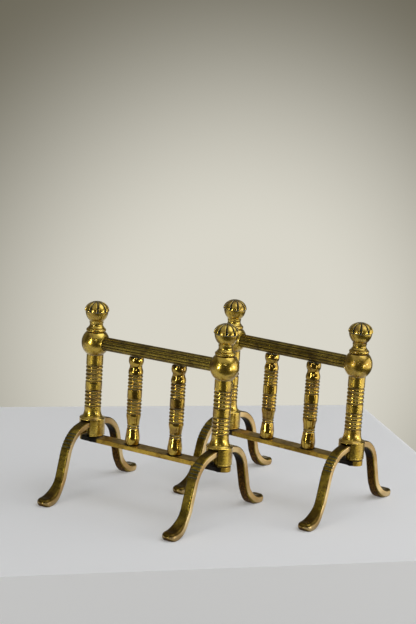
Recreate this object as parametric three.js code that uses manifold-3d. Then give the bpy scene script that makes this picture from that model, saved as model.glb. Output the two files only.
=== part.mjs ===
// A pair of brass andirons, the low stands that carry logs or fire irons on a hearth.
// Millimetres, +Z up. X runs along the rails, Y along the legs, and the soles stand on z = 0.
// Each andiron is two turned posts joined by a reeded rail above and a flat bar below, with
// two turned spindles between them. A bent leg arch is trapped in a slot under each post.

import * as THREE from 'three';
import { mergeVertices } from 'three/addons/utils/BufferGeometryUtils.js';
import Module from 'manifold-3d';

const wasm = await Module();
wasm.setup();

// Fits
const seatGap = 0.3; // air between pieces that touch, and round pins in their holes

// How the pair stands
const pairStepAlong = 84; // right andiron from the left one, along the left rail
const pairStepAcross = 108; // and across it, towards the far side
const pairTurn = -5; // degrees that the right andiron is turned about the vertical
const archTurns = { // degrees that each leg arch has settled askew in its slot
  left_front: -0.7, left_rear: 2, right_front: 0, right_rear: -0.9,
};

// Frame of one andiron
const postSpacing = 142; // between the axes of the two posts
const spindleSpacing = 47.3; // between the axes of the two spindles
const barHeight = 47.4; // floor to the underside of the bottom bar
const railHeight = 142.8; // floor to the axis of the top rail, through the middle of each ball

// Bottom bar
const barThickness = 4.4;
const barWidth = 15;
const barOverhang = 12.2; // past each post axis, to the rounded end

// Top rail, a drawn bar with reeds along it
const railRadius = 6.5;
const reedCount = 12;
const reedGrooveDepth = 0.6;
const reedGrooveShare = 0.3; // share of each reed's pitch that its groove takes
const railSeat = 6; // from the middle of the ball to the blind end of its rail hole

// Post, turned and cast in one: socket, cove, column and ball
const shadowGap = 1.5; // open joint between the bar and the socket
const socketRadius = 12.3;
const socketHeight = 16.7;
const socketChamfer = 0.6;
const coveFootRadius = 11.3;
const coveRise = 8; // from the socket to the plain column
const columnRadius = 8;
const ballRadius = 13.5;
const ballHalfHeight = 13.9; // it is a little taller than round
const ballFlatDrop = 4; // how far below its pole the ball is faced flat for the finial

// Turned V grooves, in bands of five
const grooveDepth = 0.75;
const grooveWidth = 1.3;
const grooveCount = 5;
const postGroovePitch = 3.7;
const upperBandDrop = 11.1; // from the ball down to the first groove of the upper band
const lowerBandRise = 3.4; // from the cove up to the first groove of the lower band

// Slot across the socket, open below
const slotRoofDrop = 1.4; // from the top of the socket down to the roof of the slot
const slotSideGap = 0.7;

// Leg arch, one strap bent into two legs, with a round boss under its middle
const strapThickness = 6.7;
const strapWidth = 9.8;
const toeWidth = 12.5;
const strapDraft = 0.5; // how much narrower the inner face is than the outer, for casting
const crownHalfSpan = 21; // from the post axis to the start of the shoulder
const crownFall = 13; // degrees of slope there
const shoulderRadius = 28;
const legSlope = 73.5; // degrees below level of the straight of the leg
const flareRadius = 26;
const toeLift = 3.9; // middle of the toe above the floor
const heelSwell = 2.4; // extra metal under the flare, filed flat as the sole
const noseLength = 6.2; // the rounded end of the toe
const legGrooveCount = 5;
const legGroovePitch = 3.6;
const legGrooveWidth = 1.2;
const legGrooveDepth = 0.5;
const legGrooveSlope = 50; // degrees of slope at the middle groove
const bossRadius = 4.2;

// Finial: round collar, lip, waisted neck and a knob whose dome is cut into petals
const collarRadius = 9.4;
const collarHeight = 2.7;
const lipRadius = 8.8;
const lipHeight = 1; // over the collar, to the foot of the neck
const lipEdge = 0.2; // height of the step down from the lip to the collar
const neckRadius = 6.4;
const neckTopRadius = 6.75;
const neckHeight = 6;
const neckFlareRadius = 6.8; // where the neck starts to spread towards the lip
const neckFlareRise = 2.3;
const neckWaistRise = 3.7; // from the lip up to the narrowest ring
const knobRadius = 11.6;
const knobUnderHeight = 10.4; // from the neck to the widest ring
const bowlDepth = 12; // of the ellipse that rounds the knob's plain lower half
const bowlFrom = -50; // degrees round that ellipse, below which the half runs straight
const knobStep = 0.8; // how far the petals stand out over the plain lower half
const rimHeight = 0.2; // of the plain half above the petals' lower edge
const domeHeight = 9.2;
const petalCount = 9;
const petalCutWidth = 1.7;
const petalCutDepth = 1.2; // at the widest ring
const petalCutEndDepth = 0.25; // where the cut ends, near the pole
const petalCutEnd = 70; // degrees up the dome, from its widest ring

// Spindle, turned, with a tenon into the rail
const spindleRadius = 6.9;
const spindleFootRadius = 6.2;
const spindleBulbRadius = 6.9;
const spindleBulbRise = 4.6; // from the bar to the widest part of the foot
const spindleBulbHeight = 4;
const spindleNeckRadius = 5.7;
const spindleWaistRadius = 5.9; // just under the swell of the body
const spindleWaistRise = 7.9; // from the foot up to the waist
const spindleBeadRadius = 7.1;
const spindleBeadDepth = 8.2; // of the ellipse that rounds the bead down to the top neck
const spindleBeadDrop = 3.1; // from the rail down to the widest ring of the bead
const spindleTopNeckRadius = 5.85;
const spindleFootHeight = 15.6;
const spindleTaperHeight = 11.6; // from the foot up to the plain body
const spindleShoulderRadius = 6.95;
const spindleShoulderDrop = 13.2; // from the rail down to the widest ring of the shoulder
const spindleShoulderHeight = 3.6; // from that ring up to the top neck
const spindleGroovePitch = 3.35;
const spindleBandMargin = 3.4; // plain body left above and below the two bands
const neckGrooveRise = 2.6; // between the two ring grooves of the lower neck
const tenonRadius = 2.4;
const tenonLength = 4;

// Steel fastenings
const postScrewRadius = 1.9;
const postScrewHeadRadius = 2.9;
const postScrewHeadHeight = 2.4;
const postScrewReach = 13; // into the post above the slot
const spindleScrewRadius = 1.6;
const spindleScrewHeadRadius = 2.5;
const spindleScrewHeadHeight = 1.5;
const spindleScrewReach = 11;
const studRadius = 2.2;
const studReach = 8; // into the ball, and as far into the finial

// Facets
const postSides = 12;
const spindleSides = 9;
const finialSides = 15;
const pinSides = 8;
const coveSteps = 3;
const ballSteps = 5;
const barEndSteps = 6;
const flareSteps = 5;
const noseAngles = [30, 60, 80]; // degrees round the end of the toe
const petalRises = [0, 38, petalCutEnd]; // degrees up the dome
const weldDistance = 1e-4;

// Heights that follow from the sizes above
const barTop = barHeight + barThickness;
const socketBottom = barTop + shadowGap;
const socketTop = socketBottom + socketHeight;
const slotRoof = socketTop - slotRoofDrop;
const coveTop = socketTop + coveRise;
const columnTop = railHeight - ballHalfHeight * Math.sqrt(1 - (columnRadius / ballRadius) ** 2);
const ballFlat = railHeight + ballHalfHeight - ballFlatDrop;
const finialBottom = ballFlat + seatGap;
const spindleBottom = barTop + seatGap;
const spindleTop = railHeight - railRadius - seatGap;
const strapMiddle = slotRoof - seatGap - strapThickness / 2;

const degrees = THREE.MathUtils.degToRad;

// Solids for cutting and joining

function toSolid(geometry) {
  const bare = geometry.clone();
  bare.deleteAttribute('normal');
  bare.deleteAttribute('uv');
  const merged = mergeVertices(bare, weldDistance);
  const index = merged.index.array;
  const kept = [];
  for (let i = 0; i < index.length; i += 3) {
    const [a, b, c] = [index[i], index[i + 1], index[i + 2]];
    if (a !== b && b !== c && c !== a) kept.push(a, b, c);
  }
  return new wasm.Manifold(new wasm.Mesh({
    numProp: 3,
    vertProperties: new Float32Array(merged.attributes.position.array),
    triVerts: new Uint32Array(kept),
  }));
}

function toGeometry(solid) {
  const mesh = solid.getMesh();
  const geometry = new THREE.BufferGeometry();
  geometry.setAttribute('position', new THREE.BufferAttribute(mesh.vertProperties, 3));
  geometry.setIndex(new THREE.BufferAttribute(mesh.triVerts, 1));
  geometry.computeVertexNormals();
  return geometry;
}

function cut(body, tools) {
  return toGeometry(tools.reduce((solid, tool) => solid.subtract(toSolid(tool)), toSolid(body)));
}

// A solid of revolution about +Z from [radius, z] points that go up from axis to axis
function turned(profile, sides) {
  const points = profile.map(([radius, z]) => new THREE.Vector2(radius, z));
  return new THREE.LatheGeometry(points, sides).rotateX(Math.PI / 2);
}

// A round pin or drill along +Z between two heights
function pin(radius, bottom, top, sides = pinSides) {
  return new THREE.CylinderGeometry(radius, radius, top - bottom, sides)
    .rotateX(Math.PI / 2).translate(0, 0, (bottom + top) / 2);
}

// A closed body through rings that have the same number of points each, counter-clockwise
// when the next ring is looked back from
function loft(rings) {
  const count = rings[0].length;
  const index = [];
  for (let i = 0; i + 1 < rings.length; i++) {
    for (let j = 0; j < count; j++) {
      const [a, b] = [i * count + j, i * count + (j + 1) % count];
      index.push(a, b, b + count, a, b + count, a + count);
    }
  }
  const last = (rings.length - 1) * count;
  for (let j = 1; j + 1 < count; j++) {
    index.push(0, j + 1, j);
    index.push(last, last + j, last + j + 1);
  }
  const geometry = new THREE.BufferGeometry().setFromPoints(rings.flat());
  geometry.setIndex(index);
  return geometry;
}

// Points on an arc of an ellipse in the [radius, z] plane; 0 degrees is outwards, 90 is up
function arc([centreR, centreZ], [halfR, halfZ], from, to, steps) {
  return Array.from({ length: steps + 1 }, (_, i) => {
    const angle = degrees(from + (to - from) * i / steps);
    return [centreR + halfR * Math.cos(angle), centreZ + halfZ * Math.sin(angle)];
  });
}

// A hollow quarter ellipse from a wide foot up to a narrower column
function cove([footR, footZ], [topR, topZ], steps = coveSteps) {
  return arc([footR, topZ], [topR - footR, footZ - topZ], 90, 0, steps);
}

// Points of V grooves cut into a cylinder, going up from the lowest groove
function grooveBand(radius, lowest, pitch, count = grooveCount) {
  return Array.from({ length: count }, (_, i) => lowest + i * pitch).flatMap((z) => [
    [radius, z - grooveWidth / 2],
    [radius - grooveDepth, z],
    [radius, z + grooveWidth / 2],
  ]);
}

// Post, with its rail hole facing along +X or -X

function postGeometry(railSide) {
  const bandSpan = (grooveCount - 1) * postGroovePitch;
  const ballStart = -THREE.MathUtils.radToDeg(Math.acos(columnRadius / ballRadius));
  const ballEnd = THREE.MathUtils.radToDeg(Math.asin((ballFlat - railHeight) / ballHalfHeight));
  const body = turned([
    [0, socketBottom],
    [socketRadius, socketBottom],
    [socketRadius, socketTop - socketChamfer],
    [socketRadius - socketChamfer, socketTop],
    ...cove([coveFootRadius, socketTop], [columnRadius, coveTop]),
    ...grooveBand(columnRadius, coveTop + lowerBandRise, postGroovePitch),
    ...grooveBand(columnRadius, columnTop - upperBandDrop - bandSpan, postGroovePitch),
    ...arc([0, railHeight], [ballRadius, ballHalfHeight], ballStart, ballEnd, ballSteps),
    [0, ballFlat],
  ], postSides);

  const slotWidth = strapWidth + 2 * slotSideGap;
  const slotBase = socketBottom - seatGap;
  const slotLength = 2 * (socketRadius + seatGap);
  const slot = new THREE.BoxGeometry(slotWidth, slotLength, slotRoof - slotBase)
    .translate(0, 0, (slotRoof + slotBase) / 2);
  const screwHole = pin(postScrewRadius + seatGap, slotBase, slotRoof + postScrewReach + seatGap);
  const studHole = pin(studRadius + seatGap, ballFlat - studReach - seatGap, ballFlat + seatGap);
  const railHole = pin(railRadius + seatGap, railSeat, ballRadius + seatGap, reedCount)
    .rotateY(railSide * Math.PI / 2).translate(0, 0, railHeight);
  return cut(body, [slot, screwHole, studHole, railHole]);
}

// Finial

// The dome of the knob: petals between V cuts that narrow and end near the pole
function petalDome(ringZ) {
  const pitch = 2 * Math.PI / petalCount;
  const edge = petalCutWidth / knobRadius / 2;
  const ringAt = (rise) => {
    const radius = knobRadius * Math.cos(degrees(rise));
    const z = ringZ + domeHeight * Math.sin(degrees(rise));
    const depth = THREE.MathUtils.lerp(petalCutDepth, petalCutEndDepth, (rise / petalCutEnd) ** 3);
    return Array.from({ length: petalCount }, (_, i) => i * pitch).flatMap((angle) => [
      [radius - depth, angle],
      [radius, angle + edge],
      [radius, angle + pitch / 2],
      [radius, angle + pitch - edge],
    ]).map(([r, angle]) => new THREE.Vector3(r * Math.cos(angle), r * Math.sin(angle), z));
  };
  const rings = petalRises.map(ringAt);
  const pole = rings[0].map(() => new THREE.Vector3(0, 0, ringZ + domeHeight));
  return loft([...rings, pole]);
}

function finialGeometry() {
  const collarTop = finialBottom + collarHeight;
  const neckBottom = collarTop + lipHeight;
  const neckTop = neckBottom + neckHeight;
  const ringZ = neckTop + knobUnderHeight;
  const plainRadius = knobRadius - knobStep;
  const collarRound = collarHeight / 2;
  const body = turned([
    [0, finialBottom],
    ...arc([collarRadius - collarRound, finialBottom + collarRound],
      [collarRound, collarRound], -90, 90, 3),
    [lipRadius, collarTop + lipEdge],
    [lipRadius, neckBottom],
    [neckFlareRadius, neckBottom + neckFlareRise],
    [neckRadius, neckBottom + neckWaistRise],
    [neckTopRadius, neckTop],
    ...arc([0, ringZ + rimHeight], [plainRadius, bowlDepth], bowlFrom, 0, 2),
    [0, ringZ + rimHeight],
  ], finialSides);
  const studHole = pin(studRadius + seatGap, finialBottom - seatGap,
    finialBottom + studReach + seatGap);
  return cut(toGeometry(toSolid(body).add(toSolid(petalDome(ringZ)))), [studHole]);
}

// Leg arch

// Slope in degrees, place of the middle line, and the extra or missing metal at each station:
// swell widens the strap, heel thickens it below, notch is cut from its outer face, and nose
// is the share that is left of it where the toe rounds off
function legStations() {
  const normal = (slope) => [Math.sin(degrees(slope)), Math.cos(degrees(slope))];
  const stations = [];
  const place = { y: 0, z: strapMiddle };
  const add = (slope, { swell = 0, heel = 0, notch = 0, nose = 1 } = {}) =>
    stations.push({ slope, y: place.y, z: place.z, swell, heel, notch, nose });

  // Moves along an arc of the given radius, positive when it bends down, to a new slope
  let slopeNow = 0;
  const bendTo = (slope, radius) => {
    const [fromY, fromZ] = normal(slopeNow);
    const [toY, toZ] = normal(slope);
    place.y += radius * (toY - fromY);
    place.z += radius * (toZ - fromZ);
    slopeNow = slope;
  };

  add(0);
  const crownRadius = crownHalfSpan / Math.sin(degrees(crownFall));
  bendTo(crownFall, crownRadius);
  add(crownFall);

  const grooveFace = shoulderRadius + strapThickness / 2;
  const toSlope = (length) => THREE.MathUtils.radToDeg(length / grooveFace);
  const firstGroove = legGrooveSlope - toSlope(legGroovePitch * (legGrooveCount - 1) / 2);
  bendTo((crownFall + firstGroove) / 2, shoulderRadius);
  add(slopeNow);
  for (let i = 0; i < legGrooveCount; i++) {
    const middle = firstGroove + i * toSlope(legGroovePitch);
    for (const side of [-1, 0, 1]) {
      bendTo(middle + side * toSlope(legGrooveWidth / 2), shoulderRadius);
      add(slopeNow, { notch: side === 0 ? legGrooveDepth : 0 });
    }
  }
  bendTo(legSlope, shoulderRadius);
  add(legSlope);

  // The straight ends where the flare can bring the middle line level at the toe's height
  const flareDrop = flareRadius * (1 - Math.cos(degrees(legSlope)));
  const straightDrop = place.z - toeLift - flareDrop;
  place.y += straightDrop / Math.tan(degrees(legSlope));
  place.z -= straightDrop;
  add(legSlope);
  for (let i = 1; i <= flareSteps; i++) {
    bendTo(legSlope * (1 - i / flareSteps), -flareRadius);
    const swell = THREE.MathUtils.smoothstep(i, 1, flareSteps - 1);
    add(slopeNow, { swell, heel: heelSwell * swell });
  }
  const noseStart = place.y;
  for (const angle of noseAngles) {
    place.y = noseStart + noseLength * Math.sin(degrees(angle));
    add(0, { swell: 1, nose: Math.cos(degrees(angle)) });
  }
  return stations;
}

// One ring of the strap, a little narrower on its inner face
function strapRing({ slope, y, z, swell, heel, notch, nose }, side) {
  const halfWidth = nose * THREE.MathUtils.lerp(strapWidth, toeWidth, swell) / 2;
  const outer = nose * strapThickness / 2 - notch;
  const inner = -nose * strapThickness / 2 - heel;
  const outline = [
    [-halfWidth, outer],
    [halfWidth, outer],
    [halfWidth - nose * strapDraft / 2, inner],
    [-halfWidth + nose * strapDraft / 2, inner],
  ];
  return outline.map(([x, out]) => new THREE.Vector3(x,
    side * (y + out * Math.sin(degrees(slope))), z + out * Math.cos(degrees(slope))));
}

function legArchGeometry() {
  const stations = legStations();
  const rings = [
    ...stations.slice(1).reverse().map((station) => strapRing(station, -1)),
    ...stations.map((station) => strapRing(station, 1)),
  ];
  const boss = pin(bossRadius, barTop + seatGap, strapMiddle, postSides);
  const reach = stations.at(-1).y + toeWidth;
  const floor = new THREE.BoxGeometry(2 * toeWidth, 2 * reach, toeWidth)
    .translate(0, 0, -toeWidth / 2);
  const screwHole = pin(postScrewRadius + seatGap, barHeight, socketTop);
  const arch = toGeometry(toSolid(loft(rings)).add(toSolid(boss)));
  return cut(arch, [floor, screwHole]);
}

// Spindle

function spindleGeometry() {
  const footTop = spindleBottom + spindleFootHeight;
  const bodyBottom = footTop + spindleTaperHeight;
  const bodyTop = spindleTop - spindleShoulderDrop;
  const bandSpan = (grooveCount - 1) * spindleGroovePitch;
  const beadMiddle = spindleTop - spindleBeadDrop;
  const beadStart = -THREE.MathUtils.radToDeg(Math.acos(spindleTopNeckRadius / spindleBeadRadius));
  const beadEnd = THREE.MathUtils.radToDeg(Math.asin(spindleBeadDrop / spindleBeadDepth));
  const body = turned([
    [0, spindleBottom],
    [spindleFootRadius, spindleBottom],
    [spindleBulbRadius, spindleBottom + spindleBulbRise],
    [spindleBulbRadius, spindleBottom + spindleBulbRise + spindleBulbHeight],
    [spindleNeckRadius, footTop - grooveWidth / 2],
    ...grooveBand(spindleNeckRadius, footTop + grooveWidth / 2, neckGrooveRise, 2).slice(1),
    [spindleWaistRadius, footTop + spindleWaistRise],
    [spindleRadius, bodyBottom],
    ...grooveBand(spindleRadius, bodyBottom + spindleBandMargin, spindleGroovePitch),
    ...grooveBand(spindleRadius, bodyTop - spindleBandMargin - bandSpan, spindleGroovePitch),
    [spindleShoulderRadius, bodyTop],
    [spindleTopNeckRadius, bodyTop + spindleShoulderHeight],
    ...arc([0, beadMiddle], [spindleBeadRadius, spindleBeadDepth], beadStart, beadEnd, 3),
    [tenonRadius, spindleTop],
    [tenonRadius, spindleTop + tenonLength],
    [0, spindleTop + tenonLength],
  ], spindleSides);
  const screwHole = pin(spindleScrewRadius + seatGap, spindleBottom - seatGap,
    spindleBottom + spindleScrewReach + seatGap);
  return cut(body, [screwHole]);
}

// Bar and rail

function barGeometry() {
  const endRadius = barWidth / 2;
  const endX = postSpacing / 2 + barOverhang - endRadius;
  const outline = new THREE.Shape();
  outline.absarc(endX, 0, endRadius, -Math.PI / 2, Math.PI / 2);
  outline.absarc(-endX, 0, endRadius, Math.PI / 2, 3 * Math.PI / 2);
  const body = new THREE.ExtrudeGeometry(outline,
    { depth: barThickness, bevelEnabled: false, curveSegments: barEndSteps }).translate(0, 0, barHeight);
  const hole = (x, screwRadius) =>
    pin(screwRadius + seatGap, barHeight - seatGap, barTop + seatGap).translate(x, 0, 0);
  return cut(body, [-1, 1].flatMap((end) => [
    hole(end * postSpacing / 2, postScrewRadius),
    hole(end * spindleSpacing / 2, spindleScrewRadius),
  ]));
}

function railGeometry() {
  const pitch = 2 * Math.PI / reedCount;
  const corner = (radius, angle) =>
    new THREE.Vector2(radius * Math.cos(angle), radius * Math.sin(angle));
  const outline = new THREE.Shape(Array.from({ length: reedCount }, (_, i) => i * pitch)
    .flatMap((angle) => [
      corner(railRadius - reedGrooveDepth, angle),
      corner(railRadius, angle + pitch * reedGrooveShare / 2),
      corner(railRadius, angle + pitch * (1 - reedGrooveShare / 2)),
    ]));
  const length = postSpacing - 2 * (railSeat + seatGap);
  const body = new THREE.ExtrudeGeometry(outline, { depth: length, bevelEnabled: false })
    .translate(0, 0, -length / 2).rotateZ(pitch / 2).rotateY(Math.PI / 2)
    .translate(0, 0, railHeight);
  const tenonHole = pin(tenonRadius + seatGap, spindleTop - seatGap,
    spindleTop + tenonLength + seatGap);
  return cut(body, [-1, 1].map((side) =>
    tenonHole.clone().translate(side * spindleSpacing / 2, 0, 0)));
}

// Steel pieces

// A screw from under the bar, with a rounded head
function screwGeometry(radius, headRadius, headHeight, tip) {
  const headTop = barHeight - seatGap;
  return turned([
    [0, headTop - headHeight],
    ...arc([0, headTop], [headRadius, headHeight], -45, 0, 1),
    [radius, headTop],
    [radius, tip],
    [0, tip],
  ], pinSides);
}

const studGeometry = () => pin(studRadius, ballFlat - studReach, finialBottom + studReach);

// Finishes
const polishedBrass = new THREE.MeshStandardMaterial(
  { name: 'polished_brass', color: 0xb8963e, metalness: 1, roughness: 0.22 });
const drawnBrass = new THREE.MeshStandardMaterial(
  { name: 'drawn_brass', color: 0xa08536, metalness: 1, roughness: 0.3 });
const castBrass = new THREE.MeshStandardMaterial(
  { name: 'cast_brass', color: 0x8f7433, metalness: 1, roughness: 0.42 });
const steel = new THREE.MeshStandardMaterial(
  { name: 'dark_steel', color: 0x4a4640, metalness: 1, roughness: 0.5 });

function addPiece(group, name, geometry, material, x = 0, turn = 0) {
  const mesh = new THREE.Mesh(geometry, material);
  mesh.name = name;
  mesh.position.x = x;
  mesh.rotation.z = degrees(turn);
  group.add(mesh);
}

const shapes = {
  legArch: legArchGeometry(),
  finial: finialGeometry(),
  spindle: spindleGeometry(),
  bar: barGeometry(),
  rail: railGeometry(),
  postScrew: screwGeometry(postScrewRadius, postScrewHeadRadius, postScrewHeadHeight,
    slotRoof + postScrewReach),
  spindleScrew: screwGeometry(spindleScrewRadius, spindleScrewHeadRadius,
    spindleScrewHeadHeight, spindleBottom + spindleScrewReach),
  stud: studGeometry(),
};

function andiron(side) {
  const group = new THREE.Group();
  addPiece(group, `${side}_bottom_bar`, shapes.bar, drawnBrass);
  addPiece(group, `${side}_top_rail`, shapes.rail, drawnBrass);
  for (const [end, way] of [['front', 1], ['rear', -1]]) {
    const [postX, spindleX] = [way * postSpacing / 2, way * spindleSpacing / 2];
    const label = `${side}_${end}`;
    addPiece(group, `${label}_post`, postGeometry(-way), polishedBrass, postX);
    addPiece(group, `${label}_finial`, shapes.finial, polishedBrass, postX);
    addPiece(group, `${label}_finial_stud`, shapes.stud, steel, postX);
    addPiece(group, `${label}_leg_arch`, shapes.legArch, castBrass, postX, archTurns[label]);
    addPiece(group, `${label}_post_screw`, shapes.postScrew, steel, postX);
    addPiece(group, `${label}_spindle`, shapes.spindle, polishedBrass, spindleX);
    addPiece(group, `${label}_spindle_screw`, shapes.spindleScrew, steel, spindleX);
  }
  return group;
}

const pair = new THREE.Group();
pair.add(andiron('left'));
const right = andiron('right');
right.position.set(pairStepAlong, pairStepAcross, 0);
right.rotation.z = degrees(pairTurn);
pair.add(right);

// The origin is on the floor, under the middle of the pair
const middle = new THREE.Box3().setFromObject(pair, true).getCenter(new THREE.Vector3());
pair.position.set(-middle.x, -middle.y, 0);

export default pair;
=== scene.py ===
# %% [markdown]
# # A pair of brass andirons
# Andirons, or fire dogs, are low stands that hold logs or fire irons on a hearth. Each of these
# two has turned posts with petalled finials, a reeded rail above a flat bar, two turned spindles
# between them, and a bent leg arch through a slot under each post.
#
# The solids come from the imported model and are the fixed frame. This script dresses them: every
# piece is made again as a fine surface in the same place, and gets a brass worked out from how
# its surface was made. Sizes are in millimetres here and become metres when a mesh is made.

# %% Load the frame
import math

import bpy
import numpy as np
from mathutils import Matrix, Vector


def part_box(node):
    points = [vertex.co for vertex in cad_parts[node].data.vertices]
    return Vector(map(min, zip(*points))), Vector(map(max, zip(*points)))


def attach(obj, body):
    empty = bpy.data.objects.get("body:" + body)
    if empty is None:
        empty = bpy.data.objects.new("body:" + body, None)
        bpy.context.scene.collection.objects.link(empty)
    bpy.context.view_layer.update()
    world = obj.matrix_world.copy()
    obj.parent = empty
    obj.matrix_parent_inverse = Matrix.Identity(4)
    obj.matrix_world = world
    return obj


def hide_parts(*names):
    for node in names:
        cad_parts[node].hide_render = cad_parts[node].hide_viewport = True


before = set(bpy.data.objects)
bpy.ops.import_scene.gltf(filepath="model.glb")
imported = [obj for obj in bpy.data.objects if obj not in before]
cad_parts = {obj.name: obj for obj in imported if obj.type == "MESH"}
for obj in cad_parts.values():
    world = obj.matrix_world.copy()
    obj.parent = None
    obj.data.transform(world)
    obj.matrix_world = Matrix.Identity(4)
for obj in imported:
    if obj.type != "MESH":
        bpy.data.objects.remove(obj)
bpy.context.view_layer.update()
MM = 0.001
SIDES = ("left", "right")
ENDS = {"front": 1, "rear": -1}
SEAT_GAP = 0.3  # between a hole and what goes into it

# %% [markdown]
# ## Where each andiron stands
# The leg arches are the same on both sides of their post, so the middle of an arch's box is the
# axis of its post. The two axes of an andiron give its place and the way it is turned.

# %% Post axes and places


def middle_of(node):
    """The middle of a node's box, in mm."""
    low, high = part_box(node)
    return np.array(low + high) / 2 / MM


def place_of(side):
    """An andiron's own origin on the floor in mm, and its turn about the vertical in radians."""
    front = middle_of(f"{side}_front_leg_arch")
    rear = middle_of(f"{side}_rear_leg_arch")
    along = front - rear
    return (front[:2] + rear[:2]) / 2, math.atan2(along[1], along[0])


PLACES = {side: place_of(side) for side in SIDES}
LEFT_ORIGIN = PLACES["left"][0]
for side, (origin, turn) in PLACES.items():
    print(side, "origin", origin.round(2), "turn", round(math.degrees(turn), 2))

# %% [markdown]
# ## The camera
# The photograph was taken from the front right, a little above the rails, with a long lens. The
# camera turns about a point near the middle of the left andiron. Its angles, distance and lens
# are those that put the posts, grooves and feet of the model on those of the photograph.

# %% Camera
PHOTO_WIDTH, PHOTO_HEIGHT = 416, 624
FOCAL_PIXELS = 1320.4
SENSOR_HEIGHT = 36.0
CAMERA_AZIMUTH, CAMERA_ELEVATION, CAMERA_ROLL = 30.72, 10.375, 3.461
CAMERA_DISTANCE = 1180.8
AIM_ALONG, AIM_HEIGHT = 50.47, 189.52
NEAREST_METRES, FARTHEST_METRES = 0.05, 20


def camera_axes(azimuth, elevation, roll):
    """Unit vectors to the camera's right, up and back, from angles in degrees."""
    a, e, r = (math.radians(v) for v in (azimuth, elevation, roll))
    back = np.array([math.sin(a) * math.cos(e), -math.cos(a) * math.cos(e), math.sin(e)])
    right = np.cross([0, 0, 1], back)
    right /= np.linalg.norm(right)
    up = np.cross(back, right)
    return (right * math.cos(r) + up * math.sin(r), up * math.cos(r) - right * math.sin(r), back)


aim = np.array([LEFT_ORIGIN[0] + AIM_ALONG, LEFT_ORIGIN[1], AIM_HEIGHT])
right, up, back = camera_axes(CAMERA_AZIMUTH, CAMERA_ELEVATION, CAMERA_ROLL)
camera_place = aim + back * CAMERA_DISTANCE
camera = bpy.data.objects.new("camera", bpy.data.cameras.new("camera"))
bpy.context.scene.collection.objects.link(camera)
matrix = np.eye(4)
matrix[:3, 0], matrix[:3, 1], matrix[:3, 2] = right, up, back
matrix[:3, 3] = camera_place * MM
camera.matrix_world = Matrix(matrix.tolist())
camera.data.sensor_fit = "VERTICAL"
camera.data.sensor_height = SENSOR_HEIGHT
camera.data.lens = FOCAL_PIXELS * SENSOR_HEIGHT / PHOTO_HEIGHT
camera.data.clip_start, camera.data.clip_end = NEAREST_METRES, FARTHEST_METRES
bpy.context.scene.camera = camera
print("camera at", (camera_place * MM).round(3), "lens", round(camera.data.lens, 2))

# %% [markdown]
# ## Surfaces from rings
# Every piece is a skin over rings of points, worked out as one array: count rings of so many
# points each. Neighbouring points make quads, and each end is closed by a fan to its middle, so
# the skin is watertight. Arrays of one value a point become attributes that the materials read,
# such as where tarnish gathers and where shade is painted. An edge between two faces is drawn
# sharp above an angle.

# %% Skin over rings
TURNED_SHARP, PETAL_SHARP, SWEPT_SHARP, REED_SHARP = 38, 50, 60, 70


def turn_matrix(angle):
    """A turn about the vertical as a 3 by 3 array."""
    c, s = math.cos(angle), math.sin(angle)
    return np.array([[c, -s, 0], [s, c, 0], [0, 0, 1]])


def ring_faces(count, sides):
    """Quads between neighbouring rings, and fans from the end rings to two extra points."""
    i, j = np.meshgrid(np.arange(count - 1), np.arange(sides), indexing="ij")
    k = (j + 1) % sides
    quads = np.stack([i * sides + j, i * sides + k, (i + 1) * sides + k, (i + 1) * sides + j], -1)
    j = np.arange(sides)
    k = (j + 1) % sides
    start, end = count * sides, count * sides + 1
    last = (count - 1) * sides
    first_fan = np.stack([np.full(sides, start), k, j], -1)
    last_fan = np.stack([np.full(sides, end), last + j, last + k], -1)
    return quads.reshape(-1, 4).tolist() + first_fan.tolist() + last_fan.tolist()


def skin(name, rings, masks=None, sharp=TURNED_SHARP):
    """A closed mesh over rings (count, sides, 3) in mm, which go anticlockwise as they climb. A
    mask has one value a ring, or one a point."""
    count, sides = rings.shape[:2]
    points = np.concatenate([rings.reshape(-1, 3), rings[[0, -1]].mean(1)]) * MM
    mesh = bpy.data.meshes.new(name)
    mesh.from_pydata(points, [], ring_faces(count, sides))
    for mask_name, values in (masks or {}).items():
        values = np.broadcast_to(values if values.ndim > 1 else values[:, None], (count, sides))
        flat = np.concatenate([values.ravel(), values[[0, -1]].mean(1)])
        mask = mesh.attributes.new(mask_name, "FLOAT", "POINT")
        mask.data.foreach_set("value", flat.astype(np.float32))
    mesh.shade_smooth()
    mesh.set_sharp_from_angle(angle=math.radians(sharp))
    return mesh


# %% Pieces in place of nodes
COPY_SHIFT = np.array([0.37, 0.11, 0.53])  # metres, so far that no pattern is seen twice


def add_piece(mesh, node, material):
    """Puts a mesh in the scene as a piece that rides on the body and stands for a node."""
    piece = bpy.data.objects.new(mesh.name, mesh)
    bpy.context.scene.collection.objects.link(piece)
    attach(piece, "root")
    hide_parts(node)
    mesh.materials.clear()
    mesh.materials.append(material)
    return piece


def placed_copy(mesh, name, side, x=0.0, turn=0.0):
    """A copy of a mesh made about its own axis, turned and moved to x along an andiron. Where each
    point was before the move, shifted by a step of its own for each copy, stays as attribute own:
    patterns read it, so they follow the piece and no two copies are alike."""
    origin, andiron_turn = PLACES[side]
    spot = np.array([*origin, 0]) + turn_matrix(andiron_turn) @ [x, 0, 0]
    copy = mesh.copy()
    copy.name = name
    flat = np.empty(len(copy.vertices) * 3)
    copy.vertices.foreach_get("co", flat)
    shift = COPY_SHIFT * (1 + len([m for m in bpy.data.meshes if "own" in m.attributes]))
    own = copy.attributes.new("own", "FLOAT_VECTOR", "POINT")
    own.data.foreach_set("vector", (flat.reshape(-1, 3) + shift).ravel())
    points = flat.reshape(-1, 3) @ turn_matrix(andiron_turn + turn).T + spot * MM
    copy.vertices.foreach_set("co", points.ravel())
    copy.update()
    return copy
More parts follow.
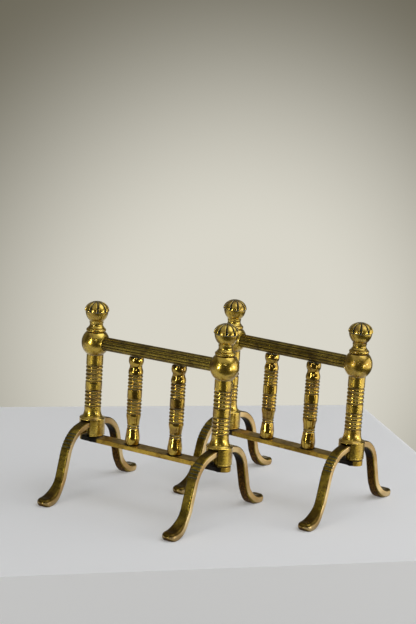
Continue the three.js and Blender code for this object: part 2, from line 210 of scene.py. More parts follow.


# %% [markdown]
# ## Turned outlines
# A lathe leaves crisp corners, and a century of polish takes the edge off them. So an outline is
# given by its corners, walked at even steps and averaged over half a millimetre, which rounds
# every corner by itself. Then points are thinned out where the outline runs straight. Tarnish
# stays where a cloth can't reach, the deepest part of a hollow is also painted dark as shade, and
# the crowns that a cloth always touches are rubbed bright. So a mask says how far a point lies
# inside the chord between the points a millimetre before and after it. It is above nought in a
# hollow and below nought on a crown.

# %% Parts of an outline
CORE_RADIUS = 0.4  # of the first and last ring, near the axis


def arc(centre, half, start, end, count=24):
    """[radius, z] points on an ellipse from one angle to another; 0 is outwards and 90 is up."""
    angle = np.radians(np.linspace(start, end, count))
    return np.stack([centre[0] + half[0] * np.cos(angle), centre[1] + half[1] * np.sin(angle)], 1)


def cove(foot, top):
    """A hollow quarter ellipse from a wide foot up to a narrower column."""
    return arc((foot[0], top[1]), (top[0] - foot[0], foot[1] - top[1]), 90, 0)


def lifted(points, height):
    """The same [radius, z] points, higher by a height."""
    return np.array(points) + [0, height]


# %% Groove bands and smooth curves
BEAD_CROWN, BEAD_FALL, LAND_POINTS = 0.1, 0.34, 7


def groove_band(radius, lowest, pitch, count, width, depth):
    """Corners of V grooves going up, and between each two a bead: radius + crown - fall x (2t)^2,
    where t runs from -1/2 to 1/2 across the land."""
    z = lowest + np.arange(count)[:, None] * pitch
    steps = np.array([-width / 2, 0, width / 2])
    edge = radius + BEAD_CROWN - BEAD_FALL
    grooves = np.stack([np.broadcast_to([edge, radius - depth, edge], (count, 3)), z + steps], -1)
    t = np.linspace(-0.5, 0.5, LAND_POINTS + 2)[1:-1]
    land_z = z[:-1] + pitch / 2 + t * (pitch - width)
    land_radius = np.broadcast_to(radius + BEAD_CROWN - BEAD_FALL * (2 * t) ** 2, land_z.shape)
    lands = np.stack([land_radius, land_z], -1)
    both = np.concatenate([grooves.reshape(-1, 2), lands.reshape(-1, 2)])
    both = both[np.argsort(both[:, 1], kind="stable")]
    both[[0, -1], 0] = radius
    return both


def curve_through(corners, count=8):
    """A smooth curve through its corners: each stretch is a cubic that leaves and enters its
    corners along the line between the corners on either side."""
    p = np.array(corners, float)
    p = np.concatenate([2 * p[:1] - p[1:2], p, 2 * p[-1:] - p[-2:-1]])
    a, b, c, d = p[:-3, None], p[1:-2, None], p[2:-1, None], p[3:, None]
    t = np.linspace(0, 1, count, endpoint=False)[:, None]
    curve = (2 * b + (c - a) * t + (2 * a - 5 * b + 4 * c - d) * t**2
             + (3 * b - a - 3 * c + d) * t**3) / 2
    return np.concatenate([curve.reshape(-1, 2), p[-2:-1]])


# %% Wear and revolving
WALK_STEP = 0.06
TINY = 1e-9  # added to a length before dividing by it


def averaged(values, length, step=WALK_STEP):
    """A running weighted mean over a length in mm, with the ends held."""
    half = max(int(length / step / 2), 1)
    weights = np.hanning(2 * half + 3)[1:-1]
    padded = np.pad(values, (half, half), mode="edge")
    return np.convolve(padded, weights / weights.sum(), "valid")


def worn_outline(*parts, wear=0.5, longest=1.6, sharpest=9.0, reach=1.0, full=0.45):
    """[radius, z] points of an outline averaged over the length wear, and how far each lies in a
    hollow, from 0 to 1, or stands out on a crown, from 0 to -1. The chord reaches so far either
    way, and a depth of full counts as 1. Two points lie at most longest mm and sharpest degrees
    apart."""
    corners = np.concatenate([np.atleast_2d(part) for part in parts]).astype(float)
    walked = np.r_[0, np.cumsum(np.hypot(*np.diff(corners, axis=0).T))]
    spots = np.arange(0, walked[-1], WALK_STEP)
    line = np.stack([averaged(np.interp(spots, walked, c), wear) for c in corners.T], 1)
    shift = int(reach / WALK_STEP)
    padded = np.pad(line, ((shift, shift), (0, 0)), mode="edge")
    chord = (padded[2 * shift:] + padded[:-2 * shift]) / 2 - line
    run = np.gradient(line, axis=0)
    run /= np.linalg.norm(run, axis=1)[:, None] + TINY
    hollow = np.clip((chord[:, 0] * run[:, 1] - chord[:, 1] * run[:, 0]) / full, -1, 1)
    step = np.diff(line, axis=0)
    heading = np.unwrap(np.arctan2(step[:, 1], step[:, 0]))
    turning = np.degrees(np.abs(np.gradient(heading)))
    cost = np.r_[0, np.cumsum(np.hypot(*step.T) / longest + turning / sharpest)]
    wanted = np.linspace(0, cost[-1], int(cost[-1]) + 2)
    columns = [np.interp(wanted, cost, v) for v in (line[:, 0], line[:, 1], hollow)]
    return np.stack(columns[:2], 1), columns[2]


def turned_rings(outline, sides):
    """Rings (count, sides, 3) of a solid of revolution: (r cos a, r sin a, z) for each angle a."""
    angle = np.arange(sides) * 2 * np.pi / sides
    radius, z = outline[:, 0, None], outline[:, 1, None]
    return np.stack([radius * np.cos(angle), radius * np.sin(angle), z + 0 * angle], -1)


# %% [markdown]
# ## Heights of an andiron
# The seats between the pieces are taken from the frame, so that nothing drifts from the solids.

# %% Seats from the frame
def levels(node):
    """The lowest and highest point of a node, in mm."""
    low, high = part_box(node)
    return low[2] / MM, high[2] / MM


BAR_BOTTOM, BAR_TOP = levels("left_bottom_bar")
POST_BOTTOM, POST_TOP = levels("left_front_post")
FINIAL_BOTTOM, FINIAL_TOP = levels("left_front_finial")
SPINDLE_BOTTOM, TENON_TOP = levels("left_front_spindle")
RAIL_BOTTOM, RAIL_TOP = levels("left_top_rail")
RAIL_HEIGHT = (RAIL_BOTTOM + RAIL_TOP) / 2
RAIL_RADIUS, SPINDLE_SPACING = 6.5, 47.3
POST_X = float(np.linalg.norm(middle_of("left_front_leg_arch")[:2] - LEFT_ORIGIN))
SPINDLE_X = SPINDLE_SPACING / 2
print("bar", round(BAR_BOTTOM, 2), round(BAR_TOP, 2), "rail", round(RAIL_HEIGHT, 2))
print("post x", round(POST_X, 2))

# %% [markdown]
# ## The post
# Socket, cove, grooved column and ball were cast as one and turned. The outline is revolved. The
# cuts are then made with the Boolean modifier as they are on the bench: the slot for the leg arch,
# the hole that the rail enters, and the holes for screw and stud. The modifier is applied, so the
# mesh is plain.

# %% Post outline
SOCKET_RADIUS, SOCKET_HEIGHT, SOCKET_CHAMFER = 12.3, 16.7, 0.6
SCRIBE_RISE, SCRIBE_WIDTH, SCRIBE_DEPTH = 1.0, 0.5, 0.3
COVE_FOOT_RADIUS, COVE_RISE = 11.3, 8.0
COLUMN_RADIUS, BALL_RADIUS, BALL_HALF_HEIGHT = 8.0, 13.38, 13.9
GROOVE_WIDTH, GROOVE_DEPTH, GROOVE_COUNT = 1.4, 1.15, 5
POST_PITCH, UPPER_BAND_DROP, LOWER_BAND_RISE = 3.7, 11.1, 3.4
SLOT_WIDTH, SLOT_ROOF_DROP = 11.2, 1.4
RAIL_SEAT = 6.0
SCREW_RADIUS, SCREW_REACH = 1.9, 13.0
STUD_RADIUS, STUD_REACH = 2.2, 8.0
POST_SIDES, BALL_POINTS = 112, 60

socket_top = POST_BOTTOM + SOCKET_HEIGHT
cove_top = socket_top + COVE_RISE
ball_start = -math.degrees(math.acos(COLUMN_RADIUS / BALL_RADIUS))
ball_end = math.degrees(math.asin((POST_TOP - RAIL_HEIGHT) / BALL_HALF_HEIGHT))
column_top = RAIL_HEIGHT + BALL_HALF_HEIGHT * math.sin(math.radians(ball_start))
slot_roof = socket_top - SLOT_ROOF_DROP
upper_band = column_top - UPPER_BAND_DROP - (GROOVE_COUNT - 1) * POST_PITCH

post_outline, post_hollow = worn_outline(
    [(CORE_RADIUS, POST_BOTTOM), (SOCKET_RADIUS, POST_BOTTOM)],
    lifted([(SOCKET_RADIUS, 0), (SOCKET_RADIUS - SCRIBE_DEPTH, SCRIBE_WIDTH / 2),
            (SOCKET_RADIUS, SCRIBE_WIDTH)], POST_BOTTOM + SCRIBE_RISE),
    [(SOCKET_RADIUS, socket_top - SOCKET_CHAMFER), (SOCKET_RADIUS - SOCKET_CHAMFER, socket_top)],
    cove((COVE_FOOT_RADIUS, socket_top), (COLUMN_RADIUS, cove_top)),
    groove_band(COLUMN_RADIUS, cove_top + LOWER_BAND_RISE, POST_PITCH, GROOVE_COUNT,
                GROOVE_WIDTH, GROOVE_DEPTH),
    groove_band(COLUMN_RADIUS, upper_band, POST_PITCH, GROOVE_COUNT, GROOVE_WIDTH, GROOVE_DEPTH),
    arc((0, RAIL_HEIGHT), (BALL_RADIUS, BALL_HALF_HEIGHT), ball_start, ball_end, BALL_POINTS),
    [(CORE_RADIUS, POST_TOP)],
    wear=0.4, full=0.8,
)
post_mesh = skin("post_blank", turned_rings(post_outline, POST_SIDES), {"tarnish_and_painted_shade": post_hollow})
print("post outline", len(post_outline), "rings")

# %% Cutting tools
OVERRUN = 1.0  # how far a tool runs past the face that it cuts


def box_cutter(name, low, high):
    """A plain box as a cutting tool, from its lowest and highest corners in mm."""
    low, high = np.array(low), np.array(high)
    corners = np.array([(0, 0), (1, 0), (1, 1), (0, 1)])
    rings = np.stack([np.column_stack([low[:2] + corners * (high - low)[:2], np.full(4, z)])
                      for z in (low[2], high[2])])
    return bpy.data.objects.new(name, skin(name, rings))


def drill(name, radius, start, end, x=0.0, sides=32):
    """A round rod along Z between two heights, as a drill or a boss."""
    rings = turned_rings(np.array([(radius, start), (radius, end)]), sides)
    return bpy.data.objects.new(name, skin(name, rings + [x, 0, 0]))


def drill_along(name, radius, start, end, z, sides=64):
    """A round rod along X at a height."""
    rings = turned_rings(np.array([(radius, start), (radius, end)]), sides)
    return bpy.data.objects.new(name, skin(name, rings[..., [2, 0, 1]] + [0, 0, z]))


def shaped(mesh, *tools, joined=(), sharp=TURNED_SHARP):
    """The mesh left when tools are joined on or taken away in turn by Boolean modifiers."""
    blank = bpy.data.objects.new("blank", mesh)
    for item in (blank, *tools):
        bpy.context.scene.collection.objects.link(item)
    for tool in tools:
        modifier = blank.modifiers.new(tool.name, "BOOLEAN")
        modifier.object, modifier.solver = tool, "EXACT"
        modifier.operation = "UNION" if tool in joined else "DIFFERENCE"
    bpy.context.view_layer.update()
    result = bpy.data.meshes.new_from_object(
        blank.evaluated_get(bpy.context.evaluated_depsgraph_get()))
    for item in (blank, *tools):
        bpy.data.objects.remove(item)
    result.set_sharp_from_angle(angle=math.radians(sharp))
    return result


# %% Post cuts
slot_tool = box_cutter(
    "slot_tool", (-SLOT_WIDTH / 2, -2 * SOCKET_RADIUS, POST_BOTTOM - 2 * OVERRUN),
    (SLOT_WIDTH / 2, 2 * SOCKET_RADIUS, slot_roof))
post_mesh = shaped(
    post_mesh, slot_tool,
    drill_along("rail_tool", RAIL_RADIUS + SEAT_GAP, RAIL_SEAT, 2 * BALL_RADIUS, RAIL_HEIGHT),
    drill("screw_tool", SCREW_RADIUS + SEAT_GAP, POST_BOTTOM - OVERRUN,
          slot_roof + SCREW_REACH + SEAT_GAP),
    drill("stud_tool", STUD_RADIUS + SEAT_GAP, POST_TOP - STUD_REACH - SEAT_GAP,
          POST_TOP + OVERRUN),
)
print("post", len(post_mesh.polygons), "faces")

# %% [markdown]
# ## The finial
# A rounded collar, a waisted neck and a knob. The knob's lower half is a plain bowl, and its
# dome is sawn into nine petals. The petals are low lobes, higher in the middle, and the saw cut
# is deepest at the rim and runs out before the top. Both are offsets of the radius that depend on
# the angle from the nearest cut, and the points crowd towards the cuts to keep them crisp.

# %% Finial outline
COLLAR_RADIUS, COLLAR_HEIGHT, LIP_HEIGHT = 9.4, 2.7, 1.0
NECK_HEIGHT, NECK_TOP_RADIUS = 6.0, 6.5
NECK_SEAM = [(6.9, 0.1), (7.8, 0.45)]  # radius and height over the lip
NECK_CURVE = [(7.6, 0.8), (6.55, 2.2), (6.35, 3.7), (6.75, 5.7)]
KNOB_RADIUS, KNOB_STEP, KNOB_UNDER_HEIGHT, BOWL_DEPTH = 11.6, 0.8, 10.4, 12.0
BOWL_FROM, BOWL_TO, DOME_TO, DOME_POINTS = -50, -2, 88, 60

lip_foot = FINIAL_BOTTOM + COLLAR_HEIGHT
neck_bottom = lip_foot + LIP_HEIGHT
neck_top = neck_bottom + NECK_HEIGHT
rim = neck_top + KNOB_UNDER_HEIGHT
dome = FINIAL_TOP - rim
collar_round = (COLLAR_HEIGHT + LIP_HEIGHT) / 2
finial_outline, finial_hollow = worn_outline(
    [(CORE_RADIUS, FINIAL_BOTTOM)],
    arc((COLLAR_RADIUS - collar_round, FINIAL_BOTTOM + collar_round),
        (collar_round, collar_round), -90, 90),
    lifted(NECK_SEAM, neck_bottom),
    curve_through(lifted(NECK_CURVE, neck_bottom)),
    [(NECK_TOP_RADIUS, neck_top)],
    arc((0, rim), (KNOB_RADIUS - KNOB_STEP, BOWL_DEPTH), BOWL_FROM, BOWL_TO),
    arc((0, rim), (KNOB_RADIUS, dome), 0, DOME_TO, DOME_POINTS),
    wear=0.35, longest=0.8, sharpest=8.0, full=0.6,
)
print("finial outline", len(finial_outline), "rings")

# %% Petal angles
PETAL_COUNT, PETAL_POINTS, PETAL_CROWDING = 9, 24, 1.7


def petal_angles():
    """Angles round the knob that crowd towards the nine cuts, and how far each lies from its cut
    as a signed share of a petal: the sign of e x |2e|^crowding / 2, for even steps e."""
    even = (np.arange(PETAL_POINTS) + 0.5) / PETAL_POINTS - 0.5
    share = np.sign(even) * np.abs(2 * even) ** PETAL_CROWDING / 2
    pitch = 2 * np.pi / PETAL_COUNT
    angle = (np.arange(PETAL_COUNT)[:, None] + share) * pitch
    return angle.ravel(), np.tile(share, PETAL_COUNT), pitch


# %% Finial
CUT_WIDTH, CUT_END_WIDTH, CUT_DEPTH, LOBE_FALL = 2.5, 0.9, 2.1, 0.45
RUNOUT, RUNOUT_FADE = 84.0, 40  # degrees up the dome, and how many before it the petals fade
DOME_START, DOME_FADE = 0.45, 0.4  # mm below the rim where the petals begin, and grow to full
POLE_RADIUS = 0.05
# Creases under the rim are darkened, and the saw cuts are darkened as dirt and painted shade.
CREASE_FROM, CREASE_GAIN, CUT_DIRT_AND_SHADE_GAIN, SHALLOW = 0.3, 3, 5, 0.1


def finial_rings():
    """The revolved outline with lobes and cuts taken off the radius above the rim: the depth of
    the cut x (1 - distance / half its width)^0.75, and the fall of the lobe x
    (1 - 2 |share|)^2.2. Both fade out towards the top."""
    angle, share, pitch = petal_angles()
    radius, z = finial_outline[:, 0, None], finial_outline[:, 1, None]
    rise = np.degrees(np.arcsin(np.clip((z - rim) / dome, 0, 1)))
    on_dome = np.clip((z - rim + DOME_START) / DOME_FADE, 0, 1)
    fade = np.clip((RUNOUT - rise) / RUNOUT_FADE, 0, 1)
    width = np.interp(rise, [0, RUNOUT], [CUT_WIDTH, CUT_END_WIDTH])
    depth = CUT_DEPTH * fade ** 0.8
    away = np.abs(share) * pitch * radius
    inside = np.clip(1 - away / (width / 2), 0, 1) ** 0.75
    lobe = LOBE_FALL * (1 - 2 * np.abs(share)) ** 2.2 * fade
    worn = (radius - on_dome * (depth * inside + lobe)).clip(POLE_RADIUS)
    rings = np.stack([worn * np.cos(angle), worn * np.sin(angle), z + 0 * angle], -1)
    crease = np.clip((finial_hollow - CREASE_FROM) * CREASE_GAIN, 0, 1)[:, None] * (z < rim)
    in_cut = np.clip(inside * CUT_DIRT_AND_SHADE_GAIN - 1, 0, 1) * (depth > SHALLOW)
    return rings, np.maximum(crease, on_dome * in_cut)


rings, tarnish_and_painted_shade = finial_rings()
finial_mesh = shaped(
    skin("finial", rings, {"tarnish_and_painted_shade": tarnish_and_painted_shade}, sharp=PETAL_SHARP),
    drill("stud_tool", STUD_RADIUS + SEAT_GAP, FINIAL_BOTTOM - OVERRUN,
          FINIAL_BOTTOM + STUD_REACH + SEAT_GAP),
    sharp=PETAL_SHARP,
)
print("finial", rings.shape)

# %% [markdown]
# ## The spindle
# A vase-shaped foot, a neck with two ring grooves, a straight body with two bands of five grooves,
# and a waisted top that ends in a bead under the rail.

# %% Spindle
SPINDLE_RADIUS, FOOT_HEIGHT, TAPER_HEIGHT, SHOULDER_DROP = 6.9, 15.6, 11.6, 13.2
FOOT_CURVE = [(6.2, 0), (6.8, 3.2), (6.9, 6.6), (6.4, 10.2), (5.8, 14.9)]  # radius and height
TAPER_CURVE = [(5.8, 4.2), (5.9, 6.7), (6.8, 11.6), (6.9, 12.8)]  # over the top of the foot
SHOULDER_CURVE = [(6.95, -0.6), (6.8, 0.7), (5.85, 3.6)]  # over the top of the body
RING_RADIUS, RING_RISE, RING_PITCH, RING_COUNT, RING_WIDTH, RING_DEPTH = 5.7, 0.6, 2.6, 2, 1.3, 0.7
TOP_NECK_RADIUS, BEAD_RADIUS, BEAD_DEPTH, BEAD_DROP = 5.85, 7.1, 8.2, 3.1
SPINDLE_PITCH, BAND_MARGIN = 3.35, 3.4
TENON_LENGTH, TENON_RADIUS = 4.0, 2.4
SPINDLE_SCREW_RADIUS, SPINDLE_SCREW_REACH = 1.6, 11.0
SPINDLE_SIDES = 72

spindle_top = TENON_TOP - TENON_LENGTH
foot_top = SPINDLE_BOTTOM + FOOT_HEIGHT
body_bottom = foot_top + TAPER_HEIGHT
body_top = spindle_top - SHOULDER_DROP
band_span = (GROOVE_COUNT - 1) * SPINDLE_PITCH
bead_middle = spindle_top - BEAD_DROP
bead_start = -math.degrees(math.acos(TOP_NECK_RADIUS / BEAD_RADIUS))
bead_end = math.degrees(math.asin(BEAD_DROP / BEAD_DEPTH))
spindle_outline, spindle_hollow = worn_outline(
    [(CORE_RADIUS, SPINDLE_BOTTOM)],
    curve_through(lifted(FOOT_CURVE, SPINDLE_BOTTOM)),
    groove_band(RING_RADIUS, foot_top + RING_RISE, RING_PITCH, RING_COUNT, RING_WIDTH, RING_DEPTH),
    curve_through(lifted(TAPER_CURVE, foot_top)),
    groove_band(SPINDLE_RADIUS, body_bottom + BAND_MARGIN, SPINDLE_PITCH, GROOVE_COUNT,
                GROOVE_WIDTH, GROOVE_DEPTH),
    groove_band(SPINDLE_RADIUS, body_top - BAND_MARGIN - band_span, SPINDLE_PITCH, GROOVE_COUNT,
                GROOVE_WIDTH, GROOVE_DEPTH),
    curve_through(lifted(SHOULDER_CURVE, body_top)),
    arc((0, bead_middle), (BEAD_RADIUS, BEAD_DEPTH), bead_start, bead_end),
    [(TENON_RADIUS, spindle_top), (TENON_RADIUS, TENON_TOP), (CORE_RADIUS, TENON_TOP)],
    wear=0.4, full=0.8,
)
spindle_mesh = shaped(
    skin("spindle", turned_rings(spindle_outline, SPINDLE_SIDES), {"tarnish_and_painted_shade": spindle_hollow}),
    drill("screw_tool", SPINDLE_SCREW_RADIUS + SEAT_GAP, SPINDLE_BOTTOM - OVERRUN,
          SPINDLE_BOTTOM + SPINDLE_SCREW_REACH + SEAT_GAP),
)
print("spindle", len(spindle_outline), "rings")

# %% [markdown]
# ## The leg arch
# One strap of brass is bent into both legs. The slope of its middle line is a function of the
# length walked from the post: it grows over the crown and the shoulder, holds down the straight,
# and falls back to level along the flare. Running sums of its sine and cosine give the height and
# the reach. A rounded rectangle is carried along that line. It widens towards the toe, thickens
# under the flare where the sole is filed flat, and closes as a rounded nose. Under the middle of
# the strap a round boss reaches down to the bar, and the post's screw goes up through it.

# %% Leg path
STRAP_THICKNESS, STRAP_WIDTH, TOE_WIDTH, STRAP_DRAFT = 6.7, 9.8, 14.4, 0.5
CROWN_HALF_SPAN, CROWN_FALL, SHOULDER_BEND, LEG_SLOPE = 21.0, 13.0, 28.0, 73.5
FLARE_BEND, TOE_LIFT, HEEL_SWELL, NOSE_LENGTH = 26.0, 3.9, 2.4, 6.1
PATH_STEP = 0.1

strap_middle = slot_roof - SEAT_GAP - STRAP_THICKNESS / 2
crown_bend = CROWN_HALF_SPAN / math.sin(math.radians(CROWN_FALL))


def drop(bend, start, end):
    """How far an arc of the given radius falls between two slopes in degrees."""
    return abs(bend * (math.cos(math.radians(start)) - math.cos(math.radians(end))))


straight_drop = (strap_middle - TOE_LIFT - drop(crown_bend, 0, CROWN_FALL)
                 - drop(SHOULDER_BEND, CROWN_FALL, LEG_SLOPE) - drop(FLARE_BEND, LEG_SLOPE, 0))
stretches = np.array([  # crown, shoulder, straight and flare
    crown_bend * math.radians(CROWN_FALL),
    SHOULDER_BEND * math.radians(LEG_SLOPE - CROWN_FALL),
    straight_drop / math.sin(math.radians(LEG_SLOPE)),
    FLARE_BEND * math.radians(LEG_SLOPE),
])
leg_marks = np.r_[0, np.cumsum(stretches)]
leg_slopes = np.array([0, CROWN_FALL, LEG_SLOPE, LEG_SLOPE, 0])


def leg_path():
    """Length walked, reach, height and slope in radians along half an arch, from its middle."""
    walked = np.arange(0, leg_marks[-1], PATH_STEP)
    slope = np.radians(np.interp(walked, leg_marks, leg_slopes))
    reach = np.r_[0, np.cumsum(np.cos(slope[:-1]) * PATH_STEP)]
    height = strap_middle - np.r_[0, np.cumsum(np.sin(slope[:-1]) * PATH_STEP)]
    return walked, reach, height, slope


walked, reach, height, slope = leg_path()
print("leg reach", reach[-1].round(2), "toe lift", height[-1].round(2))

# %% Strap section
CORNER_POINTS = 6
FLAT_POINTS = np.array([-0.93, -0.45, 0.45, 0.93])


def rounded_section():
    """A rounded rectangle as (corner x, corner y, round x, round y): the first pair scales the
    flat part and the second the rounding. It starts at the outer face and goes clockwise seen
    along the walk, so that the skin of the +Y leg faces outwards. Points on the flats crowd
    towards the corners, which keeps the shading of the flats flat."""
    corner = np.radians(np.linspace(0, 90, CORNER_POINTS))
    ones = np.ones(CORNER_POINTS)
    quarter = np.stack([ones, ones, np.sin(corner), np.cos(corner)], 1)
    across, one, nought = FLAT_POINTS, np.ones(len(FLAT_POINTS)), np.zeros(len(FLAT_POINTS))
    corners = [quarter, quarter[::-1] * [1, -1, 1, -1], -quarter, quarter[::-1] * [-1, 1, -1, 1]]
    flats = [(one, -across, one, nought), (-across, -one, nought, -one),
             (-one, across, -one, nought), (across, one, nought, one)]
    return np.concatenate([run for turned, flat in zip(corners, flats)
                           for run in (turned, np.stack(flat, 1))])


SECTION = rounded_section()
print("strap section", len(SECTION), "points")

# %% Stations along a leg
LEG_GROOVES, LEG_GROOVE_PITCH, LEG_GROOVE_WIDTH, LEG_GROOVE_DEPTH = 5, 3.6, 1.6, 0.6
LEG_GROOVE_SLOPE, LEG_GROOVE_WEAR = 50.0, 0.3
SWELL_FROM, SWELL_OVER = 0.2, 0.6  # shares of the flare
FINE_STEP, COARSE_STEP = 0.2, 1.2
NOSE_ANGLES = np.radians([8, 16, 25, 34, 43, 52, 61, 70, 78, 85])


def notches():
    """How deep the filed grooves are along the walk, and how far it is to the nearest one."""
    face_bend = SHOULDER_BEND + STRAP_THICKNESS / 2
    steps = np.arange(LEG_GROOVES) - (LEG_GROOVES - 1) / 2
    grooves = LEG_GROOVE_SLOPE + steps * math.degrees(LEG_GROOVE_PITCH / face_bend)
    spots = leg_marks[1] + SHOULDER_BEND * np.radians(grooves - CROWN_FALL)
    away = np.abs(walked[:, None] - spots).min(1) * face_bend / SHOULDER_BEND
    notch = LEG_GROOVE_DEPTH * np.clip(1 - away / (LEG_GROOVE_WIDTH / 2), 0, 1)
    return averaged(notch, LEG_GROOVE_WEAR, PATH_STEP), away


def leg_stations():
    """Reach, height, slope, swell, heel, notch and closing at points picked along one leg. The
    swell eases from 0 to 1 along the flare as 3s^2 - 2s^3. Round the nose at angle a the strap
    closes as cos a, and the heel as cos^5 a."""
    notch, away = notches()
    flare = np.clip((walked - leg_marks[3]) / (leg_marks[4] - leg_marks[3]), 0, 1)
    swell = np.clip((flare - SWELL_FROM) / SWELL_OVER, 0, 1)
    swell = swell * swell * (3 - 2 * swell)
    share = np.cumsum(PATH_STEP / np.where(away < LEG_GROOVE_WIDTH, FINE_STEP, COARSE_STEP))
    picks = np.interp(np.arange(0, share[-1]), share, np.arange(len(walked))).round()
    picks = np.unique(np.r_[picks, len(walked) - 1].astype(int))
    body = [v[picks] for v in (reach, height, slope, swell, HEEL_SWELL * swell, notch)]
    nought = np.zeros(len(NOSE_ANGLES))
    nose = [reach[-1] + NOSE_LENGTH * np.sin(NOSE_ANGLES), height[-1] + nought, nought,
            1 + nought, HEEL_SWELL * np.cos(NOSE_ANGLES) ** 5, nought]
    columns = [np.concatenate(pair) for pair in zip(body, nose)]
    return columns + [np.r_[np.ones(len(picks)), np.cos(NOSE_ANGLES)]]


# %% Rings of a leg
EDGE_ROUND, TOE_ROUND, ROUND_LIMIT = 1.6, 3.8, 0.96
SIDE_FROM, NOTCH_TARNISH = 0.95, 0.7
POST_REACH, POST_FADE = 6.0, 12.0  # mm past the crown to the end of the brown by the post
SHOULDER_SHADE_REACH, SHOULDER_SHADE_FADE = 29.0, 12.0  # and to the end of the painted shade under the shoulder
SIDE_BROWNS, TOE_BROWNS_AND_PAINTED_SHADE = 0.5, {-1: 1.0, 1: 0.2}  # shares, for the toes by the sign of Y; on one side the extra brown is painted shade


def leg_rings(sign):
    """Rings of one leg, and its masks. A point is the middle line plus x across and out along its
    normal. The crown near the post is touched least, so there the brown stays. The toes are browned
    too, those of one side more deeply as painted shade, and the inner face under the shoulder is
    painted dark as shade."""
    y, z, slope_at, swell, heel, notch, closing = (c[:, None] for c in leg_stations())
    half_width = closing * (STRAP_WIDTH + (TOE_WIDTH - STRAP_WIDTH) * swell) / 2
    outer = closing * STRAP_THICKNESS / 2 - notch
    inner = closing * STRAP_THICKNESS / 2 + heel
    rounding = EDGE_ROUND + (TOE_ROUND - EDGE_ROUND) * swell
    rounding = np.minimum(rounding, ROUND_LIMIT * np.minimum(half_width, (outer + inner) / 2))
    corner_x, corner_y, round_x, round_y = SECTION.T
    x = corner_x * (half_width - rounding) + round_x * rounding
    middle, half = (outer - inner) / 2, (outer + inner) / 2
    out = middle + corner_y * (half - rounding) + round_y * rounding
    x = x * (1 - STRAP_DRAFT / STRAP_WIDTH * (outer - out) / (outer + inner))
    points = np.stack([x, sign * (y + out * np.sin(slope_at)), z + out * np.cos(slope_at)], -1)
    points[..., 2] = np.maximum(points[..., 2], 0)
    inner_face = np.where((np.abs(round_x) < 0.5) & (corner_y < 0), 1.0, 0.0) + 0 * x
    browned_and_painted_shade = TOE_BROWNS_AND_PAINTED_SHADE[sign] * swell
    side_face = np.where(np.abs(round_x) > SIDE_FROM, 1 - SIDE_BROWNS * browned_and_painted_shade, 0.0)
    tarnish_and_painted_shade = np.clip(notch / LEG_GROOVE_DEPTH, 0, NOTCH_TARNISH) + 0 * x
    near_post = np.clip((CROWN_HALF_SPAN + POST_REACH - np.abs(y)) / POST_FADE, 0, 1)
    under_shoulder = np.clip((CROWN_HALF_SPAN + SHOULDER_SHADE_REACH - np.abs(y)) / SHOULDER_SHADE_FADE, 0, 1)
    unhandled_and_painted_shade = np.where(inner_face > 0, under_shoulder, np.maximum(browned_and_painted_shade, near_post))
    return points, {"inner": inner_face, "side": side_face, "tarnish_and_painted_shade": tarnish_and_painted_shade,
                    "unhandled_and_painted_shade": unhandled_and_painted_shade}


# %% Leg arch
BOSS_RADIUS, BOSS_SIDES = 4.2, 48

far_leg, far_masks = leg_rings(1)
near_leg, near_masks = leg_rings(-1)
arch_rings = np.concatenate([near_leg[:0:-1], far_leg])
arch_masks = {name: np.concatenate([near_masks[name][:0:-1], far_mask])
              for name, far_mask in far_masks.items()}
boss = drill("boss", BOSS_RADIUS, BAR_TOP + SEAT_GAP, strap_middle, sides=BOSS_SIDES)
arch_mesh = shaped(
    skin("leg_arch", arch_rings, arch_masks, sharp=SWEPT_SHARP), boss,
    drill("screw_tool", SCREW_RADIUS + SEAT_GAP, BAR_BOTTOM, socket_top),
    joined=[boss], sharp=SWEPT_SHARP,
)
print("leg arch", arch_rings.shape, len(arch_mesh.polygons), "faces")

# %% [markdown]
# ## The rail and the bar
# The rail is drawn through a die with twelve round reeds, so its section never changes along its
# length. The bar is a flat drawn strip, sawn off and rounded over at both ends. Both are a
# section swept straight, with the holes drilled for the tenons and the screws.

# %% Rail
REED_COUNT, REED_DEPTH, REED_POINTS = 12, 0.75, 14
RAIL_CHAMFER, RAIL_STATIONS, RAIL_STRAIGHT = 0.4, 25, 60
rail_end = POST_X - RAIL_SEAT - SEAT_GAP


def rail_rings():
    """Radius = rail radius - depth x |2t|^3.2, where t runs from -1/2 to 1/2 across each reed.
    Tarnish = |2t|^4, so it fills the dips between the reeds."""
    share = np.tile(np.linspace(-0.5, 0.5, REED_POINTS, endpoint=False), REED_COUNT)
    reed = np.repeat(np.arange(REED_COUNT), REED_POINTS)
    angle = (reed + share) * 2 * np.pi / REED_COUNT
    radius = RAIL_RADIUS - REED_DEPTH * np.abs(2 * share) ** 3.2
    middle = np.linspace(-RAIL_STRAIGHT, RAIL_STRAIGHT, RAIL_STATIONS)
    full = rail_end - RAIL_CHAMFER
    x = np.r_[-rail_end, -full, middle, full, rail_end]
    inset = np.where(np.abs(x) > full, RAIL_CHAMFER, 0)
    r = radius - inset[:, None]
    rings = np.stack([x[:, None] + 0 * r, r * np.cos(angle), RAIL_HEIGHT + r * np.sin(angle)], -1)
    return rings, np.abs(2 * share) ** 4 + 0 * r


rings, tarnish_and_painted_shade = rail_rings()
tenon_holes = [drill("tenon_tool", TENON_RADIUS + SEAT_GAP, spindle_top - OVERRUN,
                     TENON_TOP + SEAT_GAP, x=way * SPINDLE_X) for way in ENDS.values()]
rail_mesh = shaped(skin("rail", rings, {"tarnish_and_painted_shade": tarnish_and_painted_shade}, sharp=REED_SHARP), *tenon_holes,
                   sharp=REED_SHARP)
print("rail", rings.shape)

